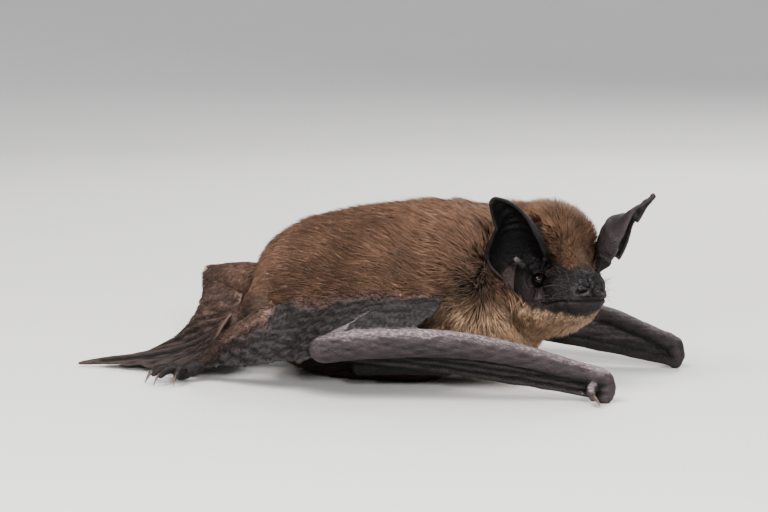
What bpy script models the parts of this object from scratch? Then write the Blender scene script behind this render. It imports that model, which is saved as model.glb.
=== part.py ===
"""A life-size serotine bat at rest on all fours, wings folded and head turned to its right.

The bat faces +X with its left side at +Y, and the floor is at z = 0. The origin is on the belly's
flat. Sizes and places are in millimetres and become metres where a mesh is made. The body's
outline is that of the fur's tips, and each part is a solid with a small gap to its neighbours.
"""

import math

import bmesh
import bpy
from mathutils import Vector

MM = 0.001
GAP = 0.3  # clear space between neighbouring solids
WELD = 0.02  # points closer than this become one after the cuts
FLOOR = 0.0
CAP_TURNS = (66, 32)  # degrees from a limb's side at which its rounded end has a ring

# Trunk: at each x, the fur's top and bottom heights and its half width.
TRUNK = [
    (-25.8, 18.8, 14.6, 2.0),
    (-25.1, 22.2, 10.8, 5.8),
    (-23.2, 25.8, 6.5, 9.6),
    (-19.4, 29.2, 2.6, 12.6),
    (-10.0, 32.6, -0.5, 14.9),
    (2.0, 34.6, -1.0, 15.9),
    (9.0, 35.2, -0.7, 15.7),
    (12.6, 33.6, 1.4, 13.8),
    (15.0, 29.5, 6.5, 9.6),
    (16.0, 23.5, 12.5, 4.5),
]
TRUNK_RINGS = 16
TRUNK_SIDES = 18
TRUNK_FULLNESS = 2.15  # superellipse power of a trunk section

# Neck: from inside the chest to inside the head.
NECK_PATH = [(8.0, 0.2, 17.0), (13.5, 0.2, 17.6), (20.0, 0.0, 18.6), (25.5, -0.6, 20.6), (29.0, -1.8, 21.6)]
NECK_HALF_WIDTHS = [10.5, 15.4, 15.0, 12.4, 8.8]
NECK_HALF_HEIGHTS = [12.0, 17.6, 17.0, 14.8, 11.4]
NECK_RINGS = 6
NECK_SIDES = 18

# Head: stations along the direction that it faces, from a point between the ears.
HEAD_CENTRE = (33.8, -3.4)
HEAD_TURN = math.radians(-47.0)
HEAD = [
    # ahead, top, bottom, half width, height of the widest level
    (-6.6, 28.0, 16.0, 3.5, 21.0),
    (-5.9, 32.5, 12.0, 7.2, 21.0),
    (-3.8, 35.3, 9.2, 10.0, 20.5),
    (-1.0, 35.6, 8.7, 10.6, 19.5),
    (2.0, 34.0, 9.5, 9.8, 18.0),
    (4.5, 30.4, 11.0, 8.0, 16.9),
    (6.5, 26.6, 12.5, 6.4, 16.8),
    (8.5, 24.4, 13.6, 5.5, 18.2),
    (10.2, 23.5, 14.6, 4.7, 18.6),
    (11.6, 22.4, 15.6, 3.8, 18.9),
    (12.5, 21.2, 17.2, 2.5, 19.2),
]
HEAD_RINGS = 16
HEAD_SIDES = 18
EYE = (4.2, 6.75, 21.2)  # ahead of the head's centre, to the side, and height
EYE_RADIUS = 1.35
ORBIT_DEPTH = 1.5
ORBIT_REACH = 2.9
GLAND = (7.9, 4.9, 20.6)  # the swollen side of the muzzle
GLAND_RISE = 0.75
GLAND_REACH = 2.0
EAR_HOLLOW = (3.0, 0.0, 25.6)  # the head's side inside the ear
EAR_HOLLOW_DEPTH = 3.0
EAR_HOLLOW_REACH = 3.2
LEFT_CROWN = (0.0, 0.0, 28.5)  # fur that stands fuller in front of the left ear
LEFT_CROWN_RISE = 1.7
LEFT_CROWN_REACH = 4.5
MOUTH_BACK = 6.2  # where the jaw's cut ends, ahead of the head's centre
MOUTH_HEIGHT = 16.7
CHIN_HEIGHT = 13.2
MOUTH_RISE = 1.3  # how far the lips rise from the corner to the nose
NOSE = (12.55, 0.0, 19.6)
NOSTRIL_SIDE = 1.75

# Ears: base and tip in the head's own directions (ahead, to the side, height).
EAR_AXIS = {
    "right": [
        (1.6, 7.6, 21.8),
        (2.9, 9.8, 25.2),
        (4.7, 11.4, 28.4),
        (6.1, 12.8, 31.3),
        (6.4, 14.9, 34.2),
        (7.6, 17.7, 36.4),
    ],
    "left": [
        (1.6, 12.2, 23.0),
        (2.9, 13.0, 26.2),
        (4.7, 13.2, 29.2),
        (6.1, 13.7, 31.5),
        (6.4, 15.5, 33.6),
        (7.6, 17.4, 36.0),
    ],
}
EAR_WIDTHS = {"right": [8.8, 10.6, 8.8, 6.4, 4.7, 2.0], "left": [8.8, 10.4, 9.6, 5.8, 3.2, 1.4]}
EAR_DEPTHS = {"right": [4.2, 5.0, 5.2, 4.6, 2.6, 0.6], "left": [3.6, 4.4, 4.2, 1.8, 0.8, 0.4]}
EAR_CURLS = [125.0, 112.0, 98.0, 84.0, 64.0, 45.0]  # half angle of each section's arc, in degrees
EAR_OPENS = (0.76, 0.65, -0.1)  # direction that the hollow faces
EAR_THICKNESS = 0.75
TRAGUS_PATH = {
    "right": [(3.6, 8.7, 22.8), (3.8, 9.6, 24.1), (3.8, 10.6, 25.5)],
    "left": [(3.8, 9.6, 23.4), (4.0, 10.6, 24.7), (4.0, 11.7, 26.1)],
}

# Wings: the arm's joints, with the forearm bowed upwards and the fingers folded under it.
SHOULDER = {"right": (16.0, -8.5, 17.0), "left": (16.0, 8.5, 17.0)}
FOREARM = {
    "right": [
        (-4.1, -27.6, 9.4),
        (4.6, -26.6, 10.6),
        (18.7, -24.0, 10.7),
        (30.9, -20.9, 8.7),
        (40.6, -17.9, 5.9),
        (44.4, -16.9, 4.7),
    ],
    "left": [
        (3.4, 33.6, 9.4),
        (12.0, 34.4, 10.7),
        (25.5, 33.0, 10.9),
        (38.5, 30.0, 9.0),
        (48.2, 26.4, 6.2),
        (51.8, 25.2, 5.0),
    ],
}
FOREARM_RADII = [2.5, 2.75, 2.45, 2.05, 1.75, 1.9]
HUMERUS_RADII = [3.6, 3.1, 2.4]
FINGER_BACK = {"right": (1.5, -22.9, 9.6), "left": (9.0, 29.9, 9.6)}  # where the knuckles lie
FINGER_DROP = {3: 1.2, 4: 2.45, 5: 3.7}  # height of each finger's own line at the wrist
FINGER_IN = {3: 1.0, 4: 0.55, 5: 0.0}  # how far each finger lies in from the wrist's line
KNUCKLE_STEP = 1.2
THUMB = {
    "right": [(43.9, -18.1, 3.1), (43.8, -20.4, 2.9), (44.4, -21.9, 1.7), (45.9, -23.0, 0.5)],
    "left": [(51.1, 26.3, 3.2), (51.3, 28.6, 2.9), (52.2, 30.0, 1.7), (53.9, 30.6, 0.5)],
}
THUMB_RADII = [1.0, 0.85, 0.62, 0.3]
SKIN_SHEET = 0.6  # thickness of a wing or tail membrane

# Hind legs.
HIP = {"right": (-22.0, -6.0, 13.5), "left": (-22.5, 5.5, 15.5)}
KNEE = {"right": (-18.6, -17.4, 13.2), "left": (-39.6, 13.4, 17.2)}
ANKLE = {"right": (-32.6, -14.2, 3.4), "left": (-41.8, 18.2, 3.2)}
THIGH_RADII = [5.0, 3.9, 2.1]
SHIN_RADII = [2.0, 1.8, 1.35]
TOES_AIM = {"right": (-0.86, -0.51), "left": (-0.72, 0.69)}
TOE_FAN = [-58.0, -26.0, 2.0, 30.0, 62.0]  # degrees from the foot's aim
SOLE_LENGTH = 3.6
TOE_LENGTH = 7.0

# Tail, from inside the rump to its free tip.
TAIL = [(-24.0, 0.0, 15.0), (-31.0, 0.4, 8.8), (-39.0, 0.6, 4.2), (-48.0, -0.8, 2.1), (-56.0, -2.8, 1.3),
        (-61.4, -4.4, 0.75)]
TAIL_RADII = [2.6, 2.0, 1.4, 1.1, 0.85, 0.45]
TAIL_FREE = 0.9  # share of the tail that lies in the membrane

COLOURS = {
    "fur": ((0.150, 0.066, 0.028), 0.9),
    "face": ((0.020, 0.016, 0.015), 0.6),
    "ear": ((0.012, 0.010, 0.010), 0.6),
    "membrane": ((0.026, 0.021, 0.021), 0.65),
    "eye": ((0.008, 0.004, 0.003), 0.05),
}


def clear_scene():
    for old in list(bpy.data.objects):
        bpy.data.objects.remove(old, do_unlink=True)


def material(finish):
    """The material of a finish in COLOURS, made on first use."""
    found = bpy.data.materials.get(finish)
    if found:
        return found
    colour, roughness = COLOURS[finish]
    made = bpy.data.materials.new(finish)
    made.use_nodes = True
    shader = made.node_tree.nodes["Principled BSDF"]
    shader.inputs["Base Color"].default_value = (*colour, 1.0)
    shader.inputs["Roughness"].default_value = roughness
    shader.inputs["Metallic"].default_value = 0.0
    made.diffuse_color = (*colour, 1.0)
    return made


def eased(values, share):
    """A smooth curve through evenly spaced values (numbers or vectors), read at a share from 0 to 1."""
    last = len(values) - 1
    at = min(max(share, 0.0), 1.0) * last
    step = min(int(at), last - 1)
    t = at - step
    before, start, end, after = (values[min(max(step + k, 0), last)] for k in (-1, 0, 1, 2))
    return 0.5 * (
        2 * start
        + (end - before) * t
        + (2 * before - 5 * start + 4 * end - after) * t**2
        + (3 * start - before - 3 * end + after) * t**3
    )


def station(table, column, at):
    """A column of a station table, read smoothly at a value of its first column."""
    for low, high in zip(table, table[1:]):
        if at <= high[0]:
            break
    span = high[0] - low[0]
    row = table.index(low)
    before, after = table[max(row - 1, 0)], table[min(row + 2, len(table) - 1)]
    slope_low = (high[column] - before[column]) / (high[0] - before[0])
    slope_high = (after[column] - low[column]) / (after[0] - low[0])
    t = min(max((at - low[0]) / span, 0.0), 1.0)
    return (
        low[column] * (2 * t**3 - 3 * t**2 + 1)
        + slope_low * span * (t**3 - 2 * t**2 + t)
        + high[column] * (3 * t**2 - 2 * t**3)
        + slope_high * span * (t**3 - t**2)
    )


def along(points, share):
    return eased([Vector(point) for point in points], share)


def power(value, exponent):
    return math.copysign(abs(value) ** exponent, value)


def head_point(ahead, side, height):
    """A point given in the head's directions, to its left where side is positive."""
    forward = Vector((math.cos(HEAD_TURN), math.sin(HEAD_TURN), 0.0))
    left = Vector((-forward.y, forward.x, 0.0))
    return Vector((*HEAD_CENTRE, 0.0)) + forward * ahead + left * side + Vector((0, 0, height))


def node(name, points, faces, finish):
    """One object from points in millimetres. Nothing reaches below the floor, which makes flats there."""
    mesh = bpy.data.meshes.new(name)
    shaped = bmesh.new()
    for point in points:
        shaped.verts.new((point[0] * MM, point[1] * MM, max(point[2], FLOOR) * MM))
    shaped.verts.ensure_lookup_table()
    for face in faces:
        shaped.faces.new([shaped.verts[index] for index in face])
    bmesh.ops.recalc_face_normals(shaped, faces=shaped.faces)
    shaped.to_mesh(mesh)
    shaped.free()
    mesh.materials.append(material(finish))
    mesh.shade_smooth()
    made = bpy.data.objects.new(name, mesh)
    bpy.context.scene.collection.objects.link(made)
    return made


def loft(name, rings, finish):
    """A closed solid through rings of equally many points, each end closed with a fan."""
    sides = len(rings[0])
    points = [point for ring in rings for point in ring]
    faces = []
    for row in range(len(rings) - 1):
        for side in range(sides):
            after = (side + 1) % sides
            faces.append(
                (row * sides + side, row * sides + after, (row + 1) * sides + after, (row + 1) * sides + side)
            )
    for row in (0, len(rings) - 1):
        centre = sum((Vector(point) for point in rings[row]), Vector()) / sides
        points.append(centre)
        for side in range(sides):
            faces.append((row * sides + side, row * sides + (side + 1) % sides, len(points) - 1))
    return node(name, points, faces, finish)


def tube(name, path, widths, finish, rings=7, sides=8, heights=None, up=(0, 0, 1)):
    """A limb along a path, with half widths and half heights read along it and rounded ends."""
    heights = heights or widths
    shares = [index / (rings - 1) for index in range(rings)]
    spots = []  # (share, shift along the path, scale)
    for turn in CAP_TURNS:
        angle = math.radians(turn)
        spots.append((0.0, -math.sin(angle), math.cos(angle)))
    spots += [(share, 0.0, 1.0) for share in shares]
    for turn in reversed(CAP_TURNS):
        angle = math.radians(turn)
        spots.append((1.0, math.sin(angle), math.cos(angle)))
    made = []
    for share, shift, scale in spots:
        near, far = along(path, max(share - 0.01, 0.0)), along(path, min(share + 0.01, 1.0))
        forward = (far - near).normalized()
        across = forward.cross(Vector(up)).normalized()
        upward = across.cross(forward)
        width, height = eased(widths, share), eased(heights, share)
        centre = along(path, share) + forward * shift * min(width, height)
        ring = []
        for side in range(sides):
            angle = 2 * math.pi * side / sides
            ring.append(
                centre + across * math.cos(angle) * width * scale + upward * math.sin(angle) * height * scale
            )
        made.append(ring)
    return loft(name, made, finish)


def sheet(name, surface, rows, columns, thickness, finish):
    """A closed shell of even thickness round surface(s, t), with s and t from 0 to 1."""
    reach = 1e-3
    layers = ([], [])
    for row in range(rows + 1):
        for column in range(columns + 1):
            s, t = row / rows, column / columns
            low_s, high_s = max(s - reach, 0), min(s + reach, 1)
            low_t, high_t = max(t - reach, 0), min(t + reach, 1)
            normal = (surface(high_s, t) - surface(low_s, t)).cross(surface(s, high_t) - surface(s, low_t))
            normal = normal.normalized() * thickness / 2
            centre = surface(s, t)
            layers[0].append(centre + normal)
            layers[1].append(centre - normal)
    wide = columns + 1
    total = (rows + 1) * wide
    faces = []
    for row in range(rows):
        for column in range(columns):
            first = row * wide + column
            face = (first, first + 1, first + wide + 1, first + wide)
            faces.append(face)
            faces.append(tuple(total + index for index in reversed(face)))
    border = [column for column in range(columns)]
    border += [row * wide + columns for row in range(rows)]
    border += [rows * wide + column for column in range(columns, 0, -1)]
    border += [row * wide for row in range(rows, 0, -1)]
    for index, first in enumerate(border):
        second = border[(index + 1) % len(border)]
        faces.append((first, second, total + second, total + first))
    return node(name, layers[0] + layers[1], faces, finish)


def trunk():
    """The barrel of the body with the fur's outline and the belly's flat on the floor."""
    rings = []
    for index in range(TRUNK_RINGS + 1):
        share = 0.5 - 0.5 * math.cos(math.pi * index / TRUNK_RINGS)
        x = TRUNK[0][0] + share * (TRUNK[-1][0] - TRUNK[0][0])
        top, bottom, half = (station(TRUNK, column, x) for column in (1, 2, 3))
        ring = []
        for side in range(TRUNK_SIDES):
            angle = 2 * math.pi * side / TRUNK_SIDES
            y = half * power(math.cos(angle), 2 / TRUNK_FULLNESS)
            z = (top + bottom) / 2 + (top - bottom) / 2 * power(math.sin(angle), 2 / TRUNK_FULLNESS)
            ring.append(Vector((x, y, z)))
        rings.append(ring)
    return loft("trunk", rings, "fur")


def neck():
    return tube("neck", NECK_PATH, NECK_HALF_WIDTHS, "fur", NECK_RINGS, NECK_SIDES, NECK_HALF_HEIGHTS)


def head_surface(ahead, angle):
    """A point of the head's outline, with the hollow round each eye and the muzzle's swollen sides."""
    top, bottom, half, level = (station(HEAD, column, ahead) for column in (1, 2, 3, 4))
    side = half * math.cos(angle)
    rise = top - level if math.sin(angle) > 0 else level - bottom
    height = level + rise * math.sin(angle)
    hollows = (
        (EYE, -ORBIT_DEPTH, ORBIT_REACH),
        (GLAND, GLAND_RISE, GLAND_REACH),
        (EAR_HOLLOW, -EAR_HOLLOW_DEPTH, EAR_HOLLOW_REACH),
        (LEFT_CROWN, LEFT_CROWN_RISE if side > 0 else 0.0, LEFT_CROWN_REACH),
    )
    for spot, change, reach in hollows:
        away = (ahead - spot[0]) ** 2 + (height - spot[2]) ** 2
        if abs(side) > half / 3:
            side += math.copysign(1.0, side) * change * math.exp(-away / reach**2)
    return ahead, side, height


def head_and_jaw():
    """The head's outline parted along the mouth into the head and the lower jaw."""
    rings = []
    for index in range(HEAD_RINGS + 1):
        ahead = HEAD[0][0] + index / HEAD_RINGS * (HEAD[-1][0] - HEAD[0][0])
        angles = [2 * math.pi * side / HEAD_SIDES for side in range(HEAD_SIDES)]
        rings.append([head_point(*head_surface(ahead, angle)) for angle in angles])
    head = loft("head", rings, "fur")
    jaw = loft("lower_jaw", rings, "face")
    for part, grow in ((head, GAP / 2), (jaw, -GAP / 2)):
        block = jaw_block(f"{part.name}_mouth", grow)
        operation = "DIFFERENCE" if part is head else "INTERSECT"
        cut(part, block, operation)
    return head, jaw


def jaw_block(name, grow):
    """The space that the lower jaw takes out of the head: below the mouth line and ahead of its corner."""
    back, front, side, low = MOUTH_BACK - grow, NOSE[0] + 6.0, 14.0, CHIN_HEIGHT - grow
    outline = [(back, low), (back, MOUTH_HEIGHT - 1.2), (back + 0.9, MOUTH_HEIGHT + grow)]
    outline += [(back + 4.5, MOUTH_HEIGHT + 0.35 + grow), (front, MOUTH_HEIGHT + MOUTH_RISE + grow), (front, low)]
    rings = []
    for across in (-side, side):
        rings.append([head_point(ahead, across, height) for ahead, height in outline])
    return helper(loft(name, rings, "face"))


def nose():
    """The pad that carries the two nostrils, a bar across the muzzle's tip."""
    path = []
    for side, back, drop in ((-1, 0.75, 0.1), (-0.55, 0.05, 0.0), (0, 0.0, 0.05), (0.55, 0.05, 0.0), (1, 0.75, 0.1)):
        path.append(head_point(NOSE[0] + 0.35 - back, side * (NOSTRIL_SIDE + 0.3), NOSE[2] - drop))
    return tube("nose", path, [0.45, 0.75, 0.55, 0.75, 0.45], "face", 7, 8, [0.6, 0.9, 0.65, 0.9, 0.6])


def eye(side, sign):
    ahead, across, height = EYE
    mesh = bpy.data.meshes.new(f"eye_{side}")
    ball = bmesh.new()
    bmesh.ops.create_icosphere(ball, subdivisions=2, radius=EYE_RADIUS * MM)
    ball.to_mesh(mesh)
    ball.free()
    mesh.materials.append(material("eye"))
    mesh.shade_smooth()
    made = bpy.data.objects.new(f"eye_{side}", mesh)
    made.location = head_point(ahead, sign * (across - 0.55 * EYE_RADIUS), height) * MM
    bpy.context.scene.collection.objects.link(made)
    return made


def ear(side, sign):
    """A trough along a curved axis, wide and deep at the base, narrow and nearly flat at the tip."""
    mirror = lambda point: head_point(point[0], sign * point[1], point[2])
    axis = [mirror(point) for point in EAR_AXIS[side]]
    opening = mirror(EAR_OPENS) - mirror((0, 0, 0))

    def surface(s, t):
        forward = (along(axis, min(s + 0.01, 1)) - along(axis, max(s - 0.01, 0))).normalized()
        face = (opening - forward * opening.dot(forward)).normalized()
        across = forward.cross(face) * sign
        curl = math.radians(eased(EAR_CURLS, s))
        angle = (2 * t - 1) * curl
        width, depth = eased(EAR_WIDTHS[side], s), eased(EAR_DEPTHS[side], s)
        spread = width / 2 * math.sin(angle) / math.sin(min(curl, math.pi / 2))
        recess = depth * (1 - math.cos(angle)) / (1 - math.cos(curl)) - depth
        return along(axis, s) + across * spread + face * recess

    return sheet(f"ear_{side}", surface, 9, 8, EAR_THICKNESS, "ear")


def tragus(side, sign):
    path = [head_point(ahead, sign * across, height) for ahead, across, height in TRAGUS_PATH[side]]
    return tube(f"tragus_{side}", path, [1.0, 0.85, 0.5], "ear", 4, 6, [0.45, 0.4, 0.3], up=(0.6, 0.6, 0))


def upper_arm(side):
    start, end = Vector(SHOULDER[side]), Vector(FOREARM[side][0])
    middle = (start + end) / 2 + Vector((0, 0, 0.6))
    return tube(f"upper_arm_{side}", [start, middle, end + (middle - end) * 0.02], HUMERUS_RADII, "membrane", 5, 10)


def forearm(side):
    return tube(f"forearm_{side}", FOREARM[side], FOREARM_RADII, "membrane", 9, 9)


def wrist(side):
    """The bend of the wing, a knob from the forearm's end down to the floor."""
    end = Vector(FOREARM[side][-1])
    ahead = (end - Vector(FOREARM[side][-2])).normalized()
    top = end + ahead * 1.3 + Vector((0, 0, 0.2))
    path = [top, top + ahead * 0.4 - Vector((0, 0, 2.0)), top - Vector((0, 0, 3.7))]
    return tube(f"wrist_{side}", path, [1.6, 1.6, 1.3], "membrane", 4, 9, [1.65, 1.8, 1.5], up=ahead)


def finger(side, sign, number):
    """A folded finger with its gathered membrane, from the wrist back to its knuckle by the elbow."""
    end, before = Vector(FOREARM[side][-1]), Vector(FOREARM[side][-2])
    inward = Vector((0, -sign, 0))
    ahead = (end - before).normalized()
    start = Vector((end.x, end.y, FINGER_DROP[number])) + ahead * 0.9 + inward * FINGER_IN[number] * 0.4
    order = 5 - number
    knuckle = Vector(FINGER_BACK[side]) + inward * order * 0.5 + Vector((order * -1.2, 0, order * -KNUCKLE_STEP))
    path = [start]
    for share, lift in ((0.3, 0.4), (0.65, 0.4)):
        path.append(start.lerp(knuckle, share) + Vector((0, 0, lift)) + inward * FINGER_IN[number] * share)
    path.append(knuckle)
    heights = {3: [0.62, 0.75, 0.85, 1.0], 4: [0.55, 0.65, 0.7, 0.85], 5: [0.58, 0.72, 0.85, 0.9]}[number]
    widths = [1.2, 1.0, 0.9, 0.65]
    return tube(f"finger_{number}_{side}", path, widths, "membrane", 6, 6, heights)


def wing_tip(side, sign):
    """The last bones of the fingers, folded back on the palm side of the bundle."""
    inward = Vector((0, -sign, 0))
    knuckle = Vector(FINGER_BACK[side]) + inward * 3.4 + Vector((-1.0, 0, -4.4))
    ahead = Vector(FOREARM[side][-1]) - knuckle
    ahead.z = 0.0
    path = [knuckle, knuckle + ahead * 0.2, knuckle + ahead * 0.38 + inward * 0.3 - Vector((0, 0, 0.6))]
    return tube(f"wing_tip_{side}", path, [1.2, 1.2, 0.5], "membrane", 4, 6, [1.8, 1.3, 0.5])


def thumb(side):
    return tube(f"thumb_{side}", THUMB[side], THUMB_RADII, "membrane", 6, 6)


def arm_membrane(side, sign):
    """The small sheet before the elbow, from the shoulder and upper arm to the forearm."""
    shoulder, elbow = Vector(SHOULDER[side]), Vector(FOREARM[side][0])
    outer = [along(FOREARM[side], share) + Vector((0, 0, 1.5)) for share in (0.1, 0.18, 0.27)]
    lifted = shoulder + Vector((-1.0, sign * 8.6, -0.3))
    inner = [
        elbow.lerp(lifted, share) + Vector((0, 0, rise)) for share, rise in ((0.3, 2.8), (0.62, 3.6), (0.92, 1.2))
    ]

    def surface(s, t):
        crown = math.sin(math.pi * t)
        return along(inner, s).lerp(along(outer, s), t) + Vector((2.2 * crown * s**3, 0, 1.0 * crown * (0.3 + s)))

    return sheet(f"arm_membrane_{side}", surface, 6, 5, SKIN_SHEET, "membrane")


def flank(x, height, sign):
    """A point on the trunk's side at a height, pushed out by the gap to the next solid."""
    top, bottom, half = (station(TRUNK, column, x) for column in (1, 2, 3))
    share = min(abs(2 * height - top - bottom) / (top - bottom), 1.0)
    reach = half * (1 - share**TRUNK_FULLNESS) ** (1 / TRUNK_FULLNESS)
    return Vector((x, sign * (reach + GAP + SKIN_SHEET / 2), height))


def side_membrane(side, sign):
    """The wing's skin behind the arm, from the flank out to the elbow and back to the ankle."""
    elbow, ankle, knee = Vector(FOREARM[side][0]), Vector(ANKLE[side]), Vector(KNEE[side])
    inner = [flank(9.0, 17.4, sign), flank(-3.0, 17.2, sign), flank(-13.0, 15.4, sign)]
    inner += [flank(-20.5, 12.0, sign) + Vector((0, sign * 1.2, 0)), ankle + Vector((3.0, sign * 0.2, 2.6))]
    outer = [flank(9.0, 17.4, sign) + Vector((-4.6, sign * 3.4, -2.4)), elbow + Vector((-2.6, 0, -1.7))]
    outer += [elbow.lerp(ankle, 0.36) + Vector((0, -sign * 0.9, -1.3)), elbow.lerp(ankle, 0.7) + Vector((0, 0, -1.0))]
    outer += [ankle + Vector((1.2, sign * 0.8, -0.6))]

    def surface(s, t):
        fold = 0.4 * math.sin(3 * math.pi * s + 1.5 * t) * math.sin(math.pi * t)
        return along(inner, s).lerp(along(outer, s), t) + Vector((0, sign * fold, fold))

    return sheet(f"side_membrane_{side}", surface, 9, 6, SKIN_SHEET, "membrane")


def thigh(side):
    start, end = Vector(HIP[side]), Vector(KNEE[side])
    middle = (start + end) / 2 + Vector((0, 0, 0.5))
    return tube(f"thigh_{side}", [start, middle, end], THIGH_RADII, "fur", 5, 10)


def shin(side, sign):
    start, end = Vector(KNEE[side]), Vector(ANKLE[side])
    middle = (start + end) / 2 + Vector((-0.4, sign * 0.5, 0.3))
    return tube(f"shin_{side}", [start, middle, end], SHIN_RADII, "fur", 5, 8, up=(1, 0, 0.2))


def foot(side):
    """The sole with five fanned toes, each ending in a claw whose point is on the floor."""
    aim = Vector((*TOES_AIM[side], 0)).normalized()
    ankle = Vector(ANKLE[side])
    pad_end = ankle + aim * SOLE_LENGTH + Vector((0, 0, 1.6 - ankle.z))
    made = tube(f"foot_{side}", [ankle, (ankle + pad_end) / 2, pad_end], [1.25, 1.5, 1.7], "membrane", 3, 7,
                [1.5, 1.5, 1.2])
    for number, turn in enumerate(TOE_FAN, 1):
        angle = math.radians(turn)
        way = Vector(
            (aim.x * math.cos(angle) - aim.y * math.sin(angle), aim.x * math.sin(angle) + aim.y * math.cos(angle), 0)
        )
        root = pad_end - aim * 0.7 + way * 0.7
        reach = TOE_LENGTH * (0.86 if number in (1, 5) else 1.0)
        path = [root - Vector((0, 0, 0.15))]
        path += [root + way * reach * share + Vector((0, 0, rise)) for share, rise in ((0.36, 0.5), (0.7, -0.15))]
        path += [root + way * reach + Vector((0, 0, 0.2 - root.z))]
        toe = tube(f"toe_{number}_{side}", path, [0.62, 0.58, 0.48, 0.25], "membrane", 4, 5)
        cut(made, helper(toe), "UNION")
    return made


def tail():
    return tube("tail", TAIL, TAIL_RADII, "fur", 8, 7)


def tail_membrane(side, sign):
    """The skin between the tail and one leg, from the rump back to its free edge."""
    beside = GAP + 0.4
    inner = []
    for share in (0.24, 0.42, 0.6, 0.76, TAIL_FREE):
        inner.append(along(TAIL, share) + Vector((0, sign * (eased(TAIL_RADII, share) + beside), -0.1)))
    hip, knee, ankle = Vector(HIP[side]), Vector(KNEE[side]), Vector(ANKLE[side])
    if side == "left":
        outer = [hip + Vector((-7.6, 2.0, 1.2)), knee + Vector((0.4, -3.2, -1.0))]
        outer += [knee.lerp(ankle, 0.45) + Vector((-0.8, -2.4, 0)), knee.lerp(ankle, 0.78) + Vector((-1.2, -2.0, 0))]
        outer += [ankle + Vector((-1.2, -1.6, -0.9))]
    else:
        outer = [hip + Vector((-7.4, -1.2, -1.0)), hip + Vector((-8.6, -3.4, -3.4))]
        outer += [knee.lerp(ankle, 0.72) + Vector((-2.4, 1.6, 0)), knee.lerp(ankle, 0.88) + Vector((-2.6, 1.3, 0))]
        outer += [ankle + Vector((-1.4, 1.4, -0.9))]

    def surface(s, t):
        sag = -0.9 * math.sin(math.pi * t) * (1 - s) ** 0.5
        inset = 3.2 * math.sin(math.pi * t) * s**3
        return along(inner, s).lerp(along(outer, s), t) + Vector((inset, 0, sag))

    return sheet(f"tail_membrane_{side}", surface, 8, 5, SKIN_SHEET, "membrane")


def helper(made):
    """Marks an object as a cutter or a piece that a Boolean adds, so that it isn't a node."""
    made.hide_render = True
    made.display_type = "WIRE"
    return made


def cut(target, tool, operation="DIFFERENCE"):
    change = target.modifiers.new(f"{operation.lower()}_{tool.name}", "BOOLEAN")
    change.operation = operation
    change.solver = "EXACT"
    change.object = tool
    change.use_self = True


def swollen(source):
    """A helper copy of a solid's own mesh, grown by the gap along its normals."""
    name = f"room_round_{source.name}"
    found = bpy.data.objects.get(name)
    if found:
        return found
    mesh = source.data.copy()
    for vertex, normal in zip(mesh.vertices, [Vector(v.normal) for v in source.data.vertices]):
        vertex.co += normal * GAP * MM
    made = bpy.data.objects.new(name, mesh)
    made.matrix_world = source.matrix_world.copy()
    made.location = source.location
    bpy.context.scene.collection.objects.link(made)
    return helper(made)


def settle(part):
    """Applies a part's cuts, welds its finest edges, and keeps its main piece without stray slivers."""
    shaped = bmesh.new()
    shaped.from_object(part, bpy.context.evaluated_depsgraph_get())
    part.modifiers.clear()
    bmesh.ops.remove_doubles(shaped, verts=shaped.verts, dist=WELD * MM)
    bmesh.ops.dissolve_degenerate(shaped, edges=shaped.edges, dist=WELD * MM)
    bmesh.ops.triangulate(shaped, faces=shaped.faces)
    torn = [edge for edge in shaped.edges if not edge.is_manifold]
    while torn:
        bmesh.ops.collapse(shaped, edges=torn)
        torn = [edge for edge in shaped.edges if not edge.is_manifold]
    pieces = []
    left = set(shaped.faces)
    while left:
        reached = [left.pop()]
        for face in reached:
            for edge in face.edges:
                fresh = [other for other in edge.link_faces if other in left]
                left.difference_update(fresh)
                reached.extend(fresh)
        pieces.append(reached)
    pieces.sort(key=len)
    for piece in pieces[:-1]:
        bmesh.ops.delete(shaped, geom=piece, context="FACES")
    shaped.to_mesh(part.data)
    shaped.free()
    part.data.shade_smooth()


def meet(first, second):
    """Whether two parts' boxes come within a gap of each other."""
    for axis in range(3):
        spans = []
        for part in (first, second):
            places = [vertex.co[axis] + part.location[axis] for vertex in part.data.vertices]
            spans.append((min(places) - GAP * MM, max(places) + GAP * MM))
        if spans[0][0] > spans[1][1] or spans[1][0] > spans[0][1]:
            return False
    return True


def place(part, placed):
    """Takes the room of the parts already placed out of a new one, so that they meet at the gap."""
    for neighbour in placed:
        if meet(part, neighbour):
            cut(part, swollen(neighbour))
    placed.append(part)


def build_bat():
    clear_scene()
    head, jaw = head_and_jaw()
    pad = nose()
    for part in (head, jaw):
        cut(part, swollen(pad))
    placed = [head]
    for side, sign in (("right", -1), ("left", 1)):
        cut(head, swollen(eye(side, sign)))
        place(ear(side, sign), placed)
        place(tragus(side, sign), placed)
    body = trunk()
    placed.append(body)
    place(neck(), placed)
    place(tail(), placed)
    for side, sign in (("right", -1), ("left", 1)):
        place(forearm(side), placed)
        place(wrist(side), placed)
        place(upper_arm(side), placed)
        place(thumb(side), placed)
        for number in (5, 4, 3):
            place(finger(side, sign, number), placed)
        place(wing_tip(side, sign), placed)
        place(arm_membrane(side, sign), placed)
        place(thigh(side), placed)
        place(shin(side, sign), placed)
        place(foot(side), placed)
        place(side_membrane(side, sign), placed)
        place(tail_membrane(side, sign), placed)
    for part in list(bpy.data.objects):
        if not part.hide_render:
            settle(part)
    for part in list(bpy.data.objects):
        if part.hide_render:
            bpy.data.objects.remove(part, do_unlink=True)


build_bat()
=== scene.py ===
"""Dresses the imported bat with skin, eyes, claws, coat and whiskers, on a plain studio floor.

Shapes are worked out in millimetres in the row's frame (+X towards the head, +Y to the bat's left)
and become metres where a mesh is made.
"""

import math

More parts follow.
